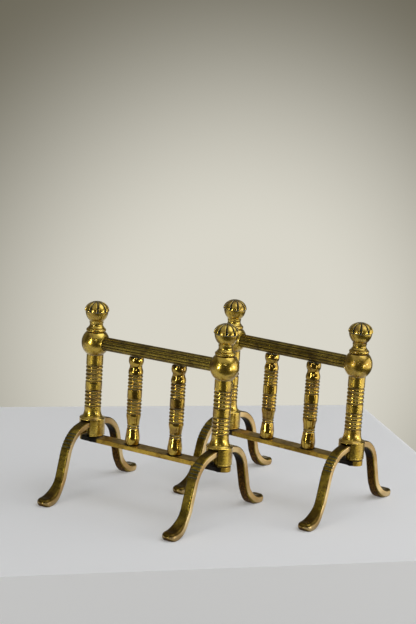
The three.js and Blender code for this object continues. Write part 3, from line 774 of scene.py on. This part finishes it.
# %% Bar
BAR_WIDTH, BAR_OVERHANG, BAR_EDGE, EDGE_LIMIT, BAR_STATIONS = 15.0, 12.1, 0.5, 0.9, 121
END_ANGLES = np.radians(np.r_[np.arange(4, 84, 5), 83, 86.5, 89])
FOOT_SHADE, FOOT_FADE = 8.2, 1.2  # radius of the painted shade round a spindle's foot
SHADE_INNER, SHADE_OUTER, SOCKET_SHADE = 13.5, 8.5, 0.9  # the painted shade's reach to either side of a socket
INNER_FADE, OUTER_FADE = 5, 3


def bar_rings():
    """Rounded rectangles along X. Half the width is the bar's, and over each end radius x cos a
    where the ring stands at radius x sin a. Shade is painted dark on the top round each foot and on
    the bar under each socket."""
    radius, straight = BAR_WIDTH / 2, POST_X + BAR_OVERHANG - BAR_WIDTH / 2
    past, bow = radius * np.sin(END_ANGLES), radius * np.cos(END_ANGLES)
    x = np.r_[-straight - past[::-1], np.linspace(-straight, straight, BAR_STATIONS),
              straight + past]
    half = np.r_[bow[::-1], np.full(BAR_STATIONS, radius), bow][:, None]
    corner_y, corner_z, round_y, round_z = SECTION.T
    edge_round = np.minimum(BAR_EDGE, EDGE_LIMIT * half)
    y = corner_y * (half - edge_round) + round_y * edge_round
    z = corner_z * ((BAR_TOP - BAR_BOTTOM) / 2 - edge_round) + round_z * edge_round
    x = x[:, None] + 0 * y
    rings = np.stack([x, y, z + (BAR_TOP + BAR_BOTTOM) / 2], -1)
    foot = np.clip((FOOT_SHADE - np.hypot(np.abs(x) - SPINDLE_X, y)) / FOOT_FADE, 0, 1)
    away = np.abs(x) - POST_X
    socket = np.minimum(np.clip((SHADE_INNER + away) / INNER_FADE, 0, 1),
                        np.clip((SHADE_OUTER - away) / OUTER_FADE, 0, 1))
    on_top = round_z > 0.5
    return rings, np.maximum(foot * on_top, SOCKET_SHADE * socket)


bar_holes = [drill("hole_tool", radius + SEAT_GAP, BAR_BOTTOM - OVERRUN, BAR_TOP + OVERRUN,
                   x=way * x)
             for way in ENDS.values()
             for radius, x in ((SCREW_RADIUS, POST_X), (SPINDLE_SCREW_RADIUS, SPINDLE_X))]
rings, tarnish_and_painted_shade = bar_rings()
bar_mesh = shaped(skin("bar", rings, {"tarnish_and_painted_shade": tarnish_and_painted_shade}, sharp=SWEPT_SHARP), *bar_holes,
                  sharp=SWEPT_SHARP)
print("bar", len(bar_mesh.polygons), "faces")

# %% [markdown]
# ## Screws
# Slotted screws with round heads hold the posts and spindles from under the bar. Only their dark
# heads show, as small nubs below it.

# %% Screws
SCREW_SIDES, SCREW_CORE_RADIUS, TIP_CHAMFER = 40, 0.3, 0.4
HEAD_SLOT_WIDTH, HEAD_SLOT_DEPTH, HEAD_SLOT_REACH = 0.8, 0.9, 5
POST_HEAD, SPINDLE_HEAD = (2.9, 2.4), (2.5, 1.5)  # radius and height
head_top = BAR_BOTTOM - SEAT_GAP


def screw_mesh(name, radius, head, tip):
    """A half-ellipse head below a straight shank, with a slot milled across the head."""
    outline, hollow = worn_outline(
        arc((0, head_top), head, -DOME_TO, 0),
        [(radius, head_top), (radius, tip - TIP_CHAMFER), (radius - TIP_CHAMFER, tip),
         (SCREW_CORE_RADIUS, tip)],
        wear=0.25, longest=3,
    )
    lowest = head_top - head[1]
    slot = box_cutter("slot_tool", (-HEAD_SLOT_WIDTH / 2, -HEAD_SLOT_REACH, lowest - OVERRUN),
                      (HEAD_SLOT_WIDTH / 2, HEAD_SLOT_REACH, lowest + HEAD_SLOT_DEPTH))
    return shaped(skin(name, turned_rings(outline, SCREW_SIDES), {"tarnish_and_painted_shade": hollow}), slot)


post_screw_mesh = screw_mesh("post_screw", SCREW_RADIUS, POST_HEAD, slot_roof + SCREW_REACH)
spindle_screw_mesh = screw_mesh("spindle_screw", SPINDLE_SCREW_RADIUS, SPINDLE_HEAD,
                                SPINDLE_BOTTOM + SPINDLE_SCREW_REACH)
print("screws", len(post_screw_mesh.polygons), len(spindle_screw_mesh.polygons), "faces")

# %% [markdown]
# ## Materials
# All the metals are made from the same few nodes. One function adds a node with its settings and
# links, and one turns sRGB hex colours to linear.

# %% Material helpers


def linear(hex_colour):
    """A linear RGBA colour from an sRGB hex string."""
    channels = np.array([int(hex_colour[i:i + 2], 16) for i in (1, 3, 5)]) / 255
    low, high = channels / 12.92, ((channels + 0.055) / 1.055) ** 2.4
    return (*np.where(channels <= 0.04045, low, high).tolist(), 1.0)


def add(tree, kind, inputs=None, output=0, **settings):
    """Adds a node, sets its own properties, fills or links its inputs, and gives one output."""
    node = tree.nodes.new(kind)
    for name, value in settings.items():
        setattr(node, name, value)
    for name, value in (inputs or {}).items():
        if isinstance(value, bpy.types.NodeSocket):
            tree.links.new(value, node.inputs[name])
        else:
            node.inputs[name].default_value = value
    return node.outputs[output]


def metal(name):
    """A new metal, with its node tree and the sockets of its shader."""
    material = bpy.data.materials.new(name)
    material.use_nodes = True
    tree = material.node_tree
    sockets = tree.nodes["Principled BSDF"].inputs
    sockets["Metallic"].default_value = 1.0
    return material, tree, sockets


# %% [markdown]
# ### Brass
# Every brass piece here is the same yellow alloy, and only the way its surface was made differs.
# To the eye an old polished one is a mirror that has softened: fine lines run the way it was cut
# and wiped, an olive bloom comes and goes in patches, and brown freckles stand where the polish
# was left on. On the walls of a hollow the polish has dried to a pale crust, which is matt and no
# metal. The bottom, which no cloth reaches, is painted near black for its dirt and for the shade
# that falls in it, and the crowns between the hollows are rubbed smoothest.

# %% Brass layers
PATCH_MM, FRECKLE_MM = 11.0, 2.6  # how wide a patch of bloom and a freckle are
SPECK_MM = 1.3  # how wide a gap in the filling of a hollow is
MIX_COLOUR, MIX_FIRST, MIX_SECOND = 2, 6, 7  # the colour sockets of a Mix node


def brass_layers(tree, own, hollow, bloom_from):
    """How much of each layer covers the brass, from 0 to 1: bloom in patches, freckles where it
    is, and as the hollow deepens its filling and then black, which is dirt and painted shade."""
    patches = add(tree, "ShaderNodeTexNoise", {
        "Vector": own, "Scale": 1 / (PATCH_MM * MM), "Detail": 5.0, "Roughness": 0.65})
    freckles = add(tree, "ShaderNodeTexNoise", {
        "Vector": own, "Scale": 1 / (FRECKLE_MM * MM), "Detail": 4.0, "Roughness": 0.6})
    specks = add(tree, "ShaderNodeTexNoise", {"Vector": own, "Scale": 1 / (SPECK_MM * MM)})
    bloom = add(tree, "ShaderNodeMapRange", {
        "Value": patches, "From Min": bloom_from - 0.08, "From Max": bloom_from + 0.16})
    freckle = add(tree, "ShaderNodeMapRange", {
        "Value": freckles, "From Min": 0.54, "From Max": 0.68, "To Max": 0.6})
    freckle = add(tree, "ShaderNodeMath", {0: freckle, 1: bloom}, operation="MULTIPLY")
    patchy = add(tree, "ShaderNodeMapRange", {
        "Value": specks, "From Min": 0.3, "From Max": 0.7, "To Min": 0.85, "To Max": 1.15})
    filled = add(tree, "ShaderNodeMath", {0: hollow, 1: patchy}, operation="MULTIPLY")
    residue = add(tree, "ShaderNodeMapRange", {"Value": filled, "From Min": 0.25, "From Max": 0.5})
    black = add(tree, "ShaderNodeMapRange", {"Value": filled, "From Min": 0.75, "From Max": 0.95})
    return bloom, freckle, residue, black


# %% Brass colour and roughness
# The second colour is the near black of freckles, and of the bottom of a hollow, where it is dirt
# and painted shade.
RESIDUE, TARNISH_AND_PAINTED_SHADE = "#8b8d7c", "#120f09"


def layered_colour(tree, clean, bloomed, filling, layers):
    """Clean brass turned to its bloomed colour, with the other layers over it in turn."""
    bloom, freckle, residue, black = layers
    colour = add(tree, "ShaderNodeMix", {
        "Factor": bloom, MIX_FIRST: linear(clean), MIX_SECOND: linear(bloomed)},
        MIX_COLOUR, data_type="RGBA")
    for factor, layer in ((freckle, TARNISH_AND_PAINTED_SHADE), (residue, filling), (black, TARNISH_AND_PAINTED_SHADE)):
        colour = add(tree, "ShaderNodeMix", {
            "Factor": factor, MIX_FIRST: colour, MIX_SECOND: linear(layer)},
            MIX_COLOUR, data_type="RGBA")
    return colour


def worn_roughness(tree, hollow, lines, roughness, layers):
    """Roughness from clean to bloomed plus the work lines, held up by freckles and filling. On a
    crown, where the mask is below 0, rubbing takes off more than half."""
    bloom, freckle, residue, _ = layers
    rough = add(tree, "ShaderNodeMapRange", {
        "Value": bloom, "To Min": roughness[0], "To Max": roughness[1]})
    streaks = add(tree, "ShaderNodeMapRange", {
        "Value": lines, "From Min": 0.3, "From Max": 0.7, "To Min": -0.04, "To Max": 0.06})
    rough = add(tree, "ShaderNodeMath", {0: rough, 1: streaks}, operation="ADD")
    for dull, least in ((freckle, 0.5), (residue, 0.45)):
        dull = add(tree, "ShaderNodeMath", {0: dull, 1: least}, operation="MULTIPLY")
        rough = add(tree, "ShaderNodeMath", {0: rough, 1: dull}, operation="MAXIMUM")
    rubbed = add(tree, "ShaderNodeMapRange", {
        "Value": hollow, "From Min": -0.08, "From Max": -0.25, "To Min": 1.0, "To Max": 0.4})
    return add(tree, "ShaderNodeMath", {0: rough, 1: rubbed}, operation="MULTIPLY")


# %% Brass
# Cutting and wiping leave lines about 0.1 mm apart, which are too fine to show here. They are
# drawn coarser: a line is LINE_MM wide divided by the scale across it, which comes to 0.4 mm on
# turned pieces, 0.6 mm on drawn ones and 2 mm on filed ones.
LINE_MM = 6.0
WAVE_MM = 8.0  # from one soft wave left by the polishing to the next
WAX_ROUGHNESS, CRUST_SPECULAR = 0.1, 0.1


def brass(name, along, clean, bloomed, roughness, bloom_from=0.5, wave_height=0.013,
          line_height=0.004, filling=RESIDUE, wax=0.7):
    """Brass with work lines along one direction and the layers above, metal only where no filling
    covers it, with a film of wax. The heights of its waves and lines are in mm."""
    material, tree, sockets = metal(name)
    own = add(tree, "ShaderNodeAttribute", output="Vector", attribute_name="own")
    hollow = add(tree, "ShaderNodeAttribute", output="Fac", attribute_name="tarnish_and_painted_shade")
    layers = brass_layers(tree, own, hollow, bloom_from)
    tree.links.new(layered_colour(tree, clean, bloomed, filling, layers), sockets["Base Color"])
    bare = add(tree, "ShaderNodeMapRange", {"Value": layers[2], "To Min": 1.0, "To Max": 0.0})
    tree.links.new(bare, sockets["Metallic"])

    stretched = add(tree, "ShaderNodeMapping", {"Vector": own, "Scale": along})
    lines = add(tree, "ShaderNodeTexNoise", {
        "Vector": stretched, "Scale": 1 / (LINE_MM * MM), "Detail": 4.0, "Roughness": 0.7})
    rough = worn_roughness(tree, hollow, lines, roughness, layers)
    tree.links.new(rough, sockets["Roughness"])
    waves = add(tree, "ShaderNodeTexNoise", {"Vector": own, "Scale": 1 / (WAVE_MM * MM)})
    wavy = add(tree, "ShaderNodeBump", {
        "Height": waves, "Strength": 1.0, "Distance": wave_height * MM})
    lined = add(tree, "ShaderNodeBump", {
        "Height": lines, "Strength": 0.5, "Distance": line_height * MM, "Normal": wavy})
    tree.links.new(lined, sockets["Normal"])
    sockets["Specular IOR Level"].default_value = CRUST_SPECULAR
    sockets["Coat Weight"].default_value = wax
    sockets["Coat Roughness"].default_value = WAX_ROUGHNESS
    print(name, len(tree.nodes), "nodes")
    return material


# %% [markdown]
# ### Polished brass
# Posts, finials and spindles came off a lathe and were buffed. Their lines run round each piece.
# Hands and cloths have softened the posts and finials, and the spindles between them stay bright.

# %% Polished brass
ROUND_THE_PIECE = (0.3, 0.3, 14.0)
polished_brass = brass("polished_yellow_brass", ROUND_THE_PIECE, "#cdae42", "#8f6c25",
                       (0.25, 0.38), bloom_from=0.53)
bright_brass = brass("bright_turned_brass", ROUND_THE_PIECE, "#c6a63a", "#836122",
                     (0.13, 0.26), bloom_from=0.51)

# %% [markdown]
# ### Drawn brass
# Rail and bar were pulled through a die and only wiped since, so their lines run lengthways. The
# rail is duller and more olive than the turned pieces. The bar is the same stock, but wiping has
# rubbed its flats brighter, and dark brown is painted on it as shade round the feet and sockets
# that stand on it.

# %% Drawn brass
ALONG_THE_PIECE = (0.15, 10.0, 10.0)
# The filling colour: dirt in the dips between the rail's reeds, and painted shade on the bar round
# the feet and under the sockets.
DIRT_AND_PAINTED_SHADE = "#30281a"
drawn_brass = brass("drawn_brass_stock", ALONG_THE_PIECE, "#a08a35", "#65531f", (0.22, 0.38),
                    bloom_from=0.46, line_height=0.012, filling=DIRT_AND_PAINTED_SHADE, wax=0.25)
wiped_brass = brass("wiped_brass_strip", ALONG_THE_PIECE, "#c8a645", "#937632", (0.26, 0.42),
                    bloom_from=0.46, line_height=0.012, filling=DIRT_AND_PAINTED_SHADE, wax=0.0)

# %% [markdown]
# ### Cast brass
# The leg arches were cast in sand, bent, and finished by hand. The outer face is polished, with an
# olive tarnish that is browner near the post, where it is touched least, and at the toes. On the
# toes of one side the brown is deeper, as painted shade. The narrow sides were filed and keep a
# pale satin grain. Nobody cleaned the inner face, so it keeps the dark brown skin of the casting,
# and under the shoulder it is painted black as shade. Masks in the mesh say which face is which,
# and what lies on each is laid over the brass in turn.

# %% Cast brass
# Grains of moulding sand leave pits about 0.3 mm wide, which are too fine to show here, so they
# are drawn 1.1 mm wide. They are stretched down the leg, as bending the strap stretched them.
SKIN_MM, PIT_MM = 1.1, 0.12
HANDLED_MM = 30.0  # how wide a patch is that hands have kept bright
FILED_ALONG, SKIN_ALONG = (1.0, 1.0, 3.0), (1.0, 1.0, 0.35)
cast_brass = brass("cast_brass_filed", FILED_ALONG, "#9a8430", "#5f4e1d", (0.22, 0.38),
                   bloom_from=0.44, wave_height=0.02, filling="#39413a", wax=0.0)
tree = cast_brass.node_tree
sockets = tree.nodes["Principled BSDF"].inputs
own = add(tree, "ShaderNodeAttribute", output="Vector", attribute_name="own")
inner = add(tree, "ShaderNodeAttribute", output="Fac", attribute_name="inner")
side_mask = add(tree, "ShaderNodeAttribute", output="Fac", attribute_name="side")
unhandled_and_painted_shade = add(tree, "ShaderNodeAttribute", output="Fac", attribute_name="unhandled_and_painted_shade")
down_the_leg = add(tree, "ShaderNodeMapping", {"Vector": own, "Scale": SKIN_ALONG})
grain = add(tree, "ShaderNodeTexNoise", {
    "Vector": down_the_leg, "Scale": 1 / (SKIN_MM * MM), "Detail": 4.0, "Roughness": 0.7})
pits = add(tree, "ShaderNodeMapRange", {"Value": grain, "From Min": 0.4, "From Max": 0.72})
# Under the shoulder the inner face is painted near black as shade.
outside_painted_shade = add(tree, "ShaderNodeMapRange", {"Value": unhandled_and_painted_shade, "To Min": 1.0, "To Max": 0.05})
pits = add(tree, "ShaderNodeMath", {0: pits, 1: outside_painted_shade}, operation="MULTIPLY")
skin_colour = add(tree, "ShaderNodeMix", {
    "Factor": pits, MIX_FIRST: linear("#100a05"), MIX_SECOND: linear("#8f6420")},
    MIX_COLOUR, data_type="RGBA")

# %% Filed sides, browned toes and painted shade
handled = add(tree, "ShaderNodeTexNoise", {"Vector": own, "Scale": 1 / (HANDLED_MM * MM)})
handled = add(tree, "ShaderNodeMapRange", {"Value": handled, "From Min": 0.35, "From Max": 0.65})
filed = add(tree, "ShaderNodeMix", {
    "Factor": handled, MIX_FIRST: linear("#bd9a60"), MIX_SECOND: linear("#f0d6a0")},
    MIX_COLOUR, data_type="RGBA")
# Brown near the post and at the toes, where the toes of one side are browner as painted shade.
browned_and_painted_shade = add(tree, "ShaderNodeMath", {0: unhandled_and_painted_shade, 1: 0.65}, operation="MULTIPLY")
colour = add(tree, "ShaderNodeMix", {
    "Factor": browned_and_painted_shade, MIX_FIRST: sockets["Base Color"].links[0].from_socket,
    MIX_SECOND: linear("#4a3616")}, MIX_COLOUR, data_type="RGBA")
colour = add(tree, "ShaderNodeMix", {
    "Factor": side_mask, MIX_FIRST: colour, MIX_SECOND: filed}, MIX_COLOUR, data_type="RGBA")
colour = add(tree, "ShaderNodeMix", {
    "Factor": inner, MIX_FIRST: colour, MIX_SECOND: skin_colour}, MIX_COLOUR, data_type="RGBA")
tree.links.new(colour, sockets["Base Color"])

# %% Satin and pits
rough = sockets["Roughness"].links[0].from_socket
for mask, least in ((inner, 0.6), (side_mask, 0.42)):
    matt = add(tree, "ShaderNodeMath", {0: mask, 1: least}, operation="MULTIPLY")
    rough = add(tree, "ShaderNodeMath", {0: rough, 1: matt}, operation="MAXIMUM")
tree.links.new(rough, sockets["Roughness"])
coarse = add(tree, "ShaderNodeMapRange", {"Value": inner, "To Min": 0.1})
height_of_grain = add(tree, "ShaderNodeMath", {0: grain, 1: coarse}, operation="MULTIPLY")
pitted = add(tree, "ShaderNodeBump", {
    "Height": height_of_grain, "Strength": 1.0, "Distance": PIT_MM * MM,
    "Normal": sockets["Normal"].links[0].from_socket})
tree.links.new(pitted, sockets["Normal"])
print(cast_brass.name, len(tree.nodes), "nodes")

# %% [markdown]
# ### Dark steel
# Screws and studs are plain steel, browned by oil and many years of hearth smoke. To the eye it
# is a dull near-black metal with rust-brown spots.

# %% Dark steel
RUST_MM = 2.0  # how wide a spot of rust is
dark_steel, tree, sockets = metal("browned_steel")
where = add(tree, "ShaderNodeTexCoord", output="Object")
spots = add(tree, "ShaderNodeTexNoise", {
    "Vector": where, "Scale": 1 / (RUST_MM * MM), "Detail": 4.0})
rust = add(tree, "ShaderNodeMapRange", {"Value": spots, "From Min": 0.4, "From Max": 0.65})
colour = add(tree, "ShaderNodeMix", {
    "Factor": rust, MIX_FIRST: linear("#3a342e"), MIX_SECOND: linear("#5a4430")},
    MIX_COLOUR, data_type="RGBA")
tree.links.new(colour, sockets["Base Color"])
rough = add(tree, "ShaderNodeMapRange", {
    "Value": spots, "From Min": 0.3, "From Max": 0.7, "To Min": 0.38, "To Max": 0.6})
tree.links.new(rough, sockets["Roughness"])
print(dark_steel.name, len(tree.nodes), "nodes")

# %% [markdown]
# ## Putting the pieces together
# Every shape was made once, about its own axis. A copy of it goes to each place where the frame
# has that piece. The leg arches have settled a little askew in their slots, and each finial was
# screwed home by hand, so its petals stop at an angle of their own.

# %% Place every piece
# In degrees, as the photograph shows them
ARCH_TURNS = {"left_front": -1.8, "left_rear": 2.0, "right_front": 0.0, "right_rear": -0.9}
FINIAL_TURNS = {"left_front": 20.0, "left_rear": -10.0, "right_front": 20.0, "right_rear": 0.0}


def settled(mesh, node, suffix, material, side, x=0.0, turn=0.0):
    """One finished piece in place of one node, x mm along its andiron and turned in radians."""
    return add_piece(placed_copy(mesh, f"{node}_{suffix}", side, x, turn), node, material)


for side in SIDES:
    settled(bar_mesh, f"{side}_bottom_bar", "drawn", wiped_brass, side)
    settled(rail_mesh, f"{side}_top_rail", "reeded", drawn_brass, side)
    for end, way in ENDS.items():
        label = f"{side}_{end}"
        post_x, spindle_x = way * POST_X, way * SPINDLE_X
        facing_in = math.pi if way > 0 else 0.0
        settled(post_mesh, f"{label}_post", "turned", polished_brass,
                side, post_x, facing_in)
        settled(finial_mesh, f"{label}_finial", "petalled", polished_brass,
                side, post_x, math.radians(FINIAL_TURNS[label]))
        settled(spindle_mesh, f"{label}_spindle", "turned", bright_brass,
                side, spindle_x)
        settled(arch_mesh, f"{label}_leg_arch", "bent", cast_brass,
                side, post_x, math.radians(ARCH_TURNS[label]))
        settled(post_screw_mesh, f"{label}_post_screw", "slotted", dark_steel,
                side, post_x)
        settled(spindle_screw_mesh, f"{label}_spindle_screw", "slotted", dark_steel,
                side, spindle_x)
        for material_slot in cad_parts[f"{label}_finial_stud"].material_slots:
            material_slot.material = dark_steel

# %% [markdown]
# ## Table and backdrop
# The pair stands on a table under a plain pale cloth, against a warm white wall. The edges of the
# table are found by following points of the photograph from the camera down to the floor. They
# matter for the metal: a low socket mirrors the pale cloth, and a high column the dim room beyond.
# The wall stands far enough back to leave room to look at the pair from behind.

# %% From the photograph to the floor
def ray_through(pixel_x, pixel_y):
    """The direction of the camera's ray through a pixel."""
    return ((pixel_x - PHOTO_WIDTH / 2) * right - (pixel_y - PHOTO_HEIGHT / 2) * up
            - FOCAL_PIXELS * back)


def on_floor(pixel_x, pixel_y):
    """Where the camera's ray through a pixel meets the floor, in mm."""
    ray = ray_through(pixel_x, pixel_y)
    return (camera_place - ray * camera_place[2] / ray[2])[:2]


def crossing(first, second):
    """The point where two floor lines cross, each given by two pixels on it."""
    (a, b), (c, d) = ([on_floor(*pixel) for pixel in line] for line in (first, second))
    share = np.linalg.solve(np.stack([b - a, c - d], 1), c - a)[0]
    return a + share * (b - a)


def staged(name, mesh):
    """Puts a mesh in the scene as an object of its own, for the stage, which isn't part of the
    object.
    """
    item = bpy.data.objects.new(name, mesh)
    bpy.context.scene.collection.objects.link(item)
    return item


# %% Table
BACK_EDGE = ((0, 407), (366, 405))  # two pixels on each edge
RIGHT_EDGE = ((366, 405), (416, 447))
FRONT_EDGE = ((0, 577), (416, 561))
TABLE_WIDE, TABLE_DROP, CLOTH_ROUND, ROUND_POINTS = 1500.0, 450.0, 9.0, 7

back_corner, front_corner = crossing(BACK_EDGE, RIGHT_EDGE), crossing(FRONT_EDGE, RIGHT_EDGE)
edge = back_corner - on_floor(*BACK_EDGE[0])
edge /= np.linalg.norm(edge)
front_run = front_corner - on_floor(*FRONT_EDGE[0])
front_run /= np.linalg.norm(front_run)
corners = np.array([front_corner - front_run * TABLE_WIDE, front_corner, back_corner,
                    back_corner - edge * TABLE_WIDE])
bend = np.radians(np.linspace(0, 90, ROUND_POINTS))
inset = np.r_[0, CLOTH_ROUND * (1 - np.cos(bend))]
drop_z = np.r_[-TABLE_DROP, -CLOTH_ROUND * (1 - np.sin(bend))]
inwards = np.sign(corners.mean(0) - corners)
table_rings = np.concatenate([corners + inset[:, None, None] * inwards,
                              np.broadcast_to(drop_z[:, None, None], (len(inset), 4, 1))], -1)
floor = staged("table_cloth", skin("table_cloth", table_rings, sharp=SWEPT_SHARP))
print("table corners", corners.round().tolist())

# %% Wall
WALL_WIDE, WALL_TOP, WALL_BEHIND, WALL_BELOW = 3600.0, 3600.0, 1900.0, 1200.0
WALL_LIGHTEST = (235, 350)  # the pixel where the wall is lightest

beyond = np.array([-edge[1], edge[0]])
wall_foot = back_corner + beyond * WALL_BEHIND
wall_line = np.stack([wall_foot - edge * 2 * WALL_WIDE, wall_foot + edge * WALL_WIDE])
wall_corners = np.concatenate([np.column_stack([wall_line, [-WALL_BELOW] * 2]),
                               np.column_stack([wall_line[::-1], [WALL_TOP] * 2])])
ray = ray_through(*WALL_LIGHTEST)
lightest = camera_place + ray * ((wall_foot - camera_place[:2]) @ beyond) / (ray[:2] @ beyond)
wall_mesh = bpy.data.meshes.new("plain_wall")
wall_mesh.from_pydata((wall_corners * MM).tolist(), [], [(0, 1, 2, 3)])
wall = staged("plain_wall", wall_mesh)
print("wall lightest at", lightest.round().tolist())

# %% [markdown]
# ### Cloth and wall
# The cloth is bleached cotton and the wall is limewashed plaster, and both are matt, so to the eye
# they are plain pale surfaces without a highlight. The wall is far behind the pair and lit by its
# own window, so it isn't left to the lamps. What the camera and the brass see of it is painted
# light, lightest behind the pair and darker away from there. The cloth keeps the shadows that the
# lamps give it, and a little of its own colour is added to what is seen of it.

# %% Cloth
MATT_ROUGHNESS, MATT_SPECULAR = 0.9, 0.1
CLOTH_GLOW = 0.22


def stage_material(name, colour):
    """A plain matt surface for the stage, and its node tree."""
    material = bpy.data.materials.new(name)
    material.use_nodes = True
    sockets = material.node_tree.nodes["Principled BSDF"].inputs
    sockets["Base Color"].default_value = linear(colour)
    sockets["Roughness"].default_value = MATT_ROUGHNESS
    sockets["Specular IOR Level"].default_value = MATT_SPECULAR
    return material, material.node_tree


def seen_directly(tree):
    """One where the camera or a reflection sees the surface, and nought for the light it gives."""
    camera_ray = add(tree, "ShaderNodeLightPath", output="Is Camera Ray")
    glossy_ray = add(tree, "ShaderNodeLightPath", output="Is Glossy Ray")
    return add(tree, "ShaderNodeMath", {0: camera_ray, 1: glossy_ray}, operation="MAXIMUM")


pale_cloth, tree = stage_material("pale_cloth", "#d9dadb")
strength = add(tree, "ShaderNodeMath", {0: seen_directly(tree), 1: CLOTH_GLOW},
               operation="MULTIPLY")
glow = add(tree, "ShaderNodeEmission", {"Color": linear("#f2f2f0"), "Strength": strength})
surface = add(tree, "ShaderNodeAddShader", {0: tree.nodes["Principled BSDF"].outputs[0], 1: glow})
tree.links.new(surface, tree.nodes["Material Output"].inputs["Surface"])
floor.data.materials.append(pale_cloth)
print(pale_cloth.name, len(tree.nodes), "nodes")

# %% Wall colour
# The wall's glow is painted light: lightest near one spot and darker away from it.
WALL_LIGHT, WALL_DARK = "#d9d6ca", "#6e6a5c"
WALL_LIGHT_WITHIN, WALL_DARK_BEYOND = 0.29, 1.13  # metres from the lightest place

warm_wall, tree = stage_material("warm_white_wall", "#d6d3c4")
where = add(tree, "ShaderNodeTexCoord", output="Object")
distance = add(tree, "ShaderNodeVectorMath", {0: where, 1: (lightest * MM).tolist()},
               output="Value", operation="DISTANCE")
fade = add(tree, "ShaderNodeMapRange", {
    "Value": distance, "From Min": WALL_LIGHT_WITHIN, "From Max": WALL_DARK_BEYOND},
    interpolation_type="SMOOTHSTEP")
wall_colour = add(tree, "ShaderNodeMix", {
    "Factor": fade, MIX_FIRST: linear(WALL_LIGHT), MIX_SECOND: linear(WALL_DARK)},
    MIX_COLOUR, data_type="RGBA")
glow = add(tree, "ShaderNodeEmission", {"Color": wall_colour, "Strength": 1.0})
matt = tree.nodes["Principled BSDF"].outputs[0]
surface = add(tree, "ShaderNodeMixShader", {0: seen_directly(tree), 1: matt, 2: glow})
tree.links.new(surface, tree.nodes["Material Output"].inputs["Surface"])
wall.data.materials.append(warm_wall)
print(warm_wall.name, len(tree.nodes), "nodes")

# %% [markdown]
# ## Light
# Polished metal shows the room more than it shows itself, so each lamp is placed where its
# reflection lies in the photograph: a broad window to the right, small bright ones to the left and
# right of the camera, a sunlit patch lower down, and a pale ceiling. The rest of the room behind
# the camera is dim. A lamp is given the brightness that its reflection shows, and its power
# follows from that and its size.

# %% Lamp helper
LAMP_AIM = np.array([0, 0, 100])


def lamp(name, turn, elevation, distance, size, brightness, colour="#ffffff"):
    """A rectangular lamp aimed at the pair, with lengths in mm and angles in degrees, of which turn
    is measured to the right of the camera. A flat lamp that shines evenly has a power of pi x its
    area x its brightness."""
    azimuth = math.radians(CAMERA_AZIMUTH + turn)
    height = math.radians(elevation)
    way = np.array([math.sin(azimuth) * math.cos(height), -math.cos(azimuth) * math.cos(height),
                    math.sin(height)])
    data = bpy.data.lights.new(name, "AREA")
    data.shape, data.size, data.size_y = "RECTANGLE", size[0] * MM, size[1] * MM
    data.energy = math.pi * data.size * data.size_y * brightness
    data.color = linear(colour)[:3]
    item = bpy.data.objects.new(name, data)
    item.visible_camera = False
    bpy.context.scene.collection.objects.link(item)
    x_axis = np.cross([0, 0, 1], way)
    x_axis /= np.linalg.norm(x_axis)
    matrix = np.eye(4)
    matrix[:3, 0], matrix[:3, 1], matrix[:3, 2] = x_axis, np.cross(way, x_axis), way
    matrix[:3, 3] = (LAMP_AIM + way * distance) * MM
    item.matrix_world = Matrix(matrix.tolist())
    print(name, "power", round(data.energy, 2), "W")


# %% Lamps and room
ROOM_DIM = "#3f3c36"
lamp("window_right", 87, 4, 1700, (2100, 1300), 1.4, "#fffaf2")
lamp("window_bright", 72, 4, 1650, (220, 230), 16.0)
lamp("floor_patch", 47, -4, 1650, (200, 260), 16.0)
lamp("window_left", -44, 1, 1900, (190, 240), 55.0)
lamp("window_left_high", -40, 20, 1900, (150, 170), 28.0)
lamp("overhead", 3, 26, 1900, (240, 90), 12.0)
lamp("sky_right", 90, 60, 1600, (1500, 1200), 1.6, "#f1f5ff")
lamp("ceiling", 0, 80, 1500, (3200, 2600), 0.42)
world = bpy.data.worlds.new("dim_room")
bpy.context.scene.world = world
world.use_nodes = True
world.node_tree.nodes["Background"].inputs["Color"].default_value = linear(ROOM_DIM)
world.node_tree.nodes["Background"].inputs["Strength"].default_value = 1.0
bpy.context.scene.view_settings.view_transform = "Standard"
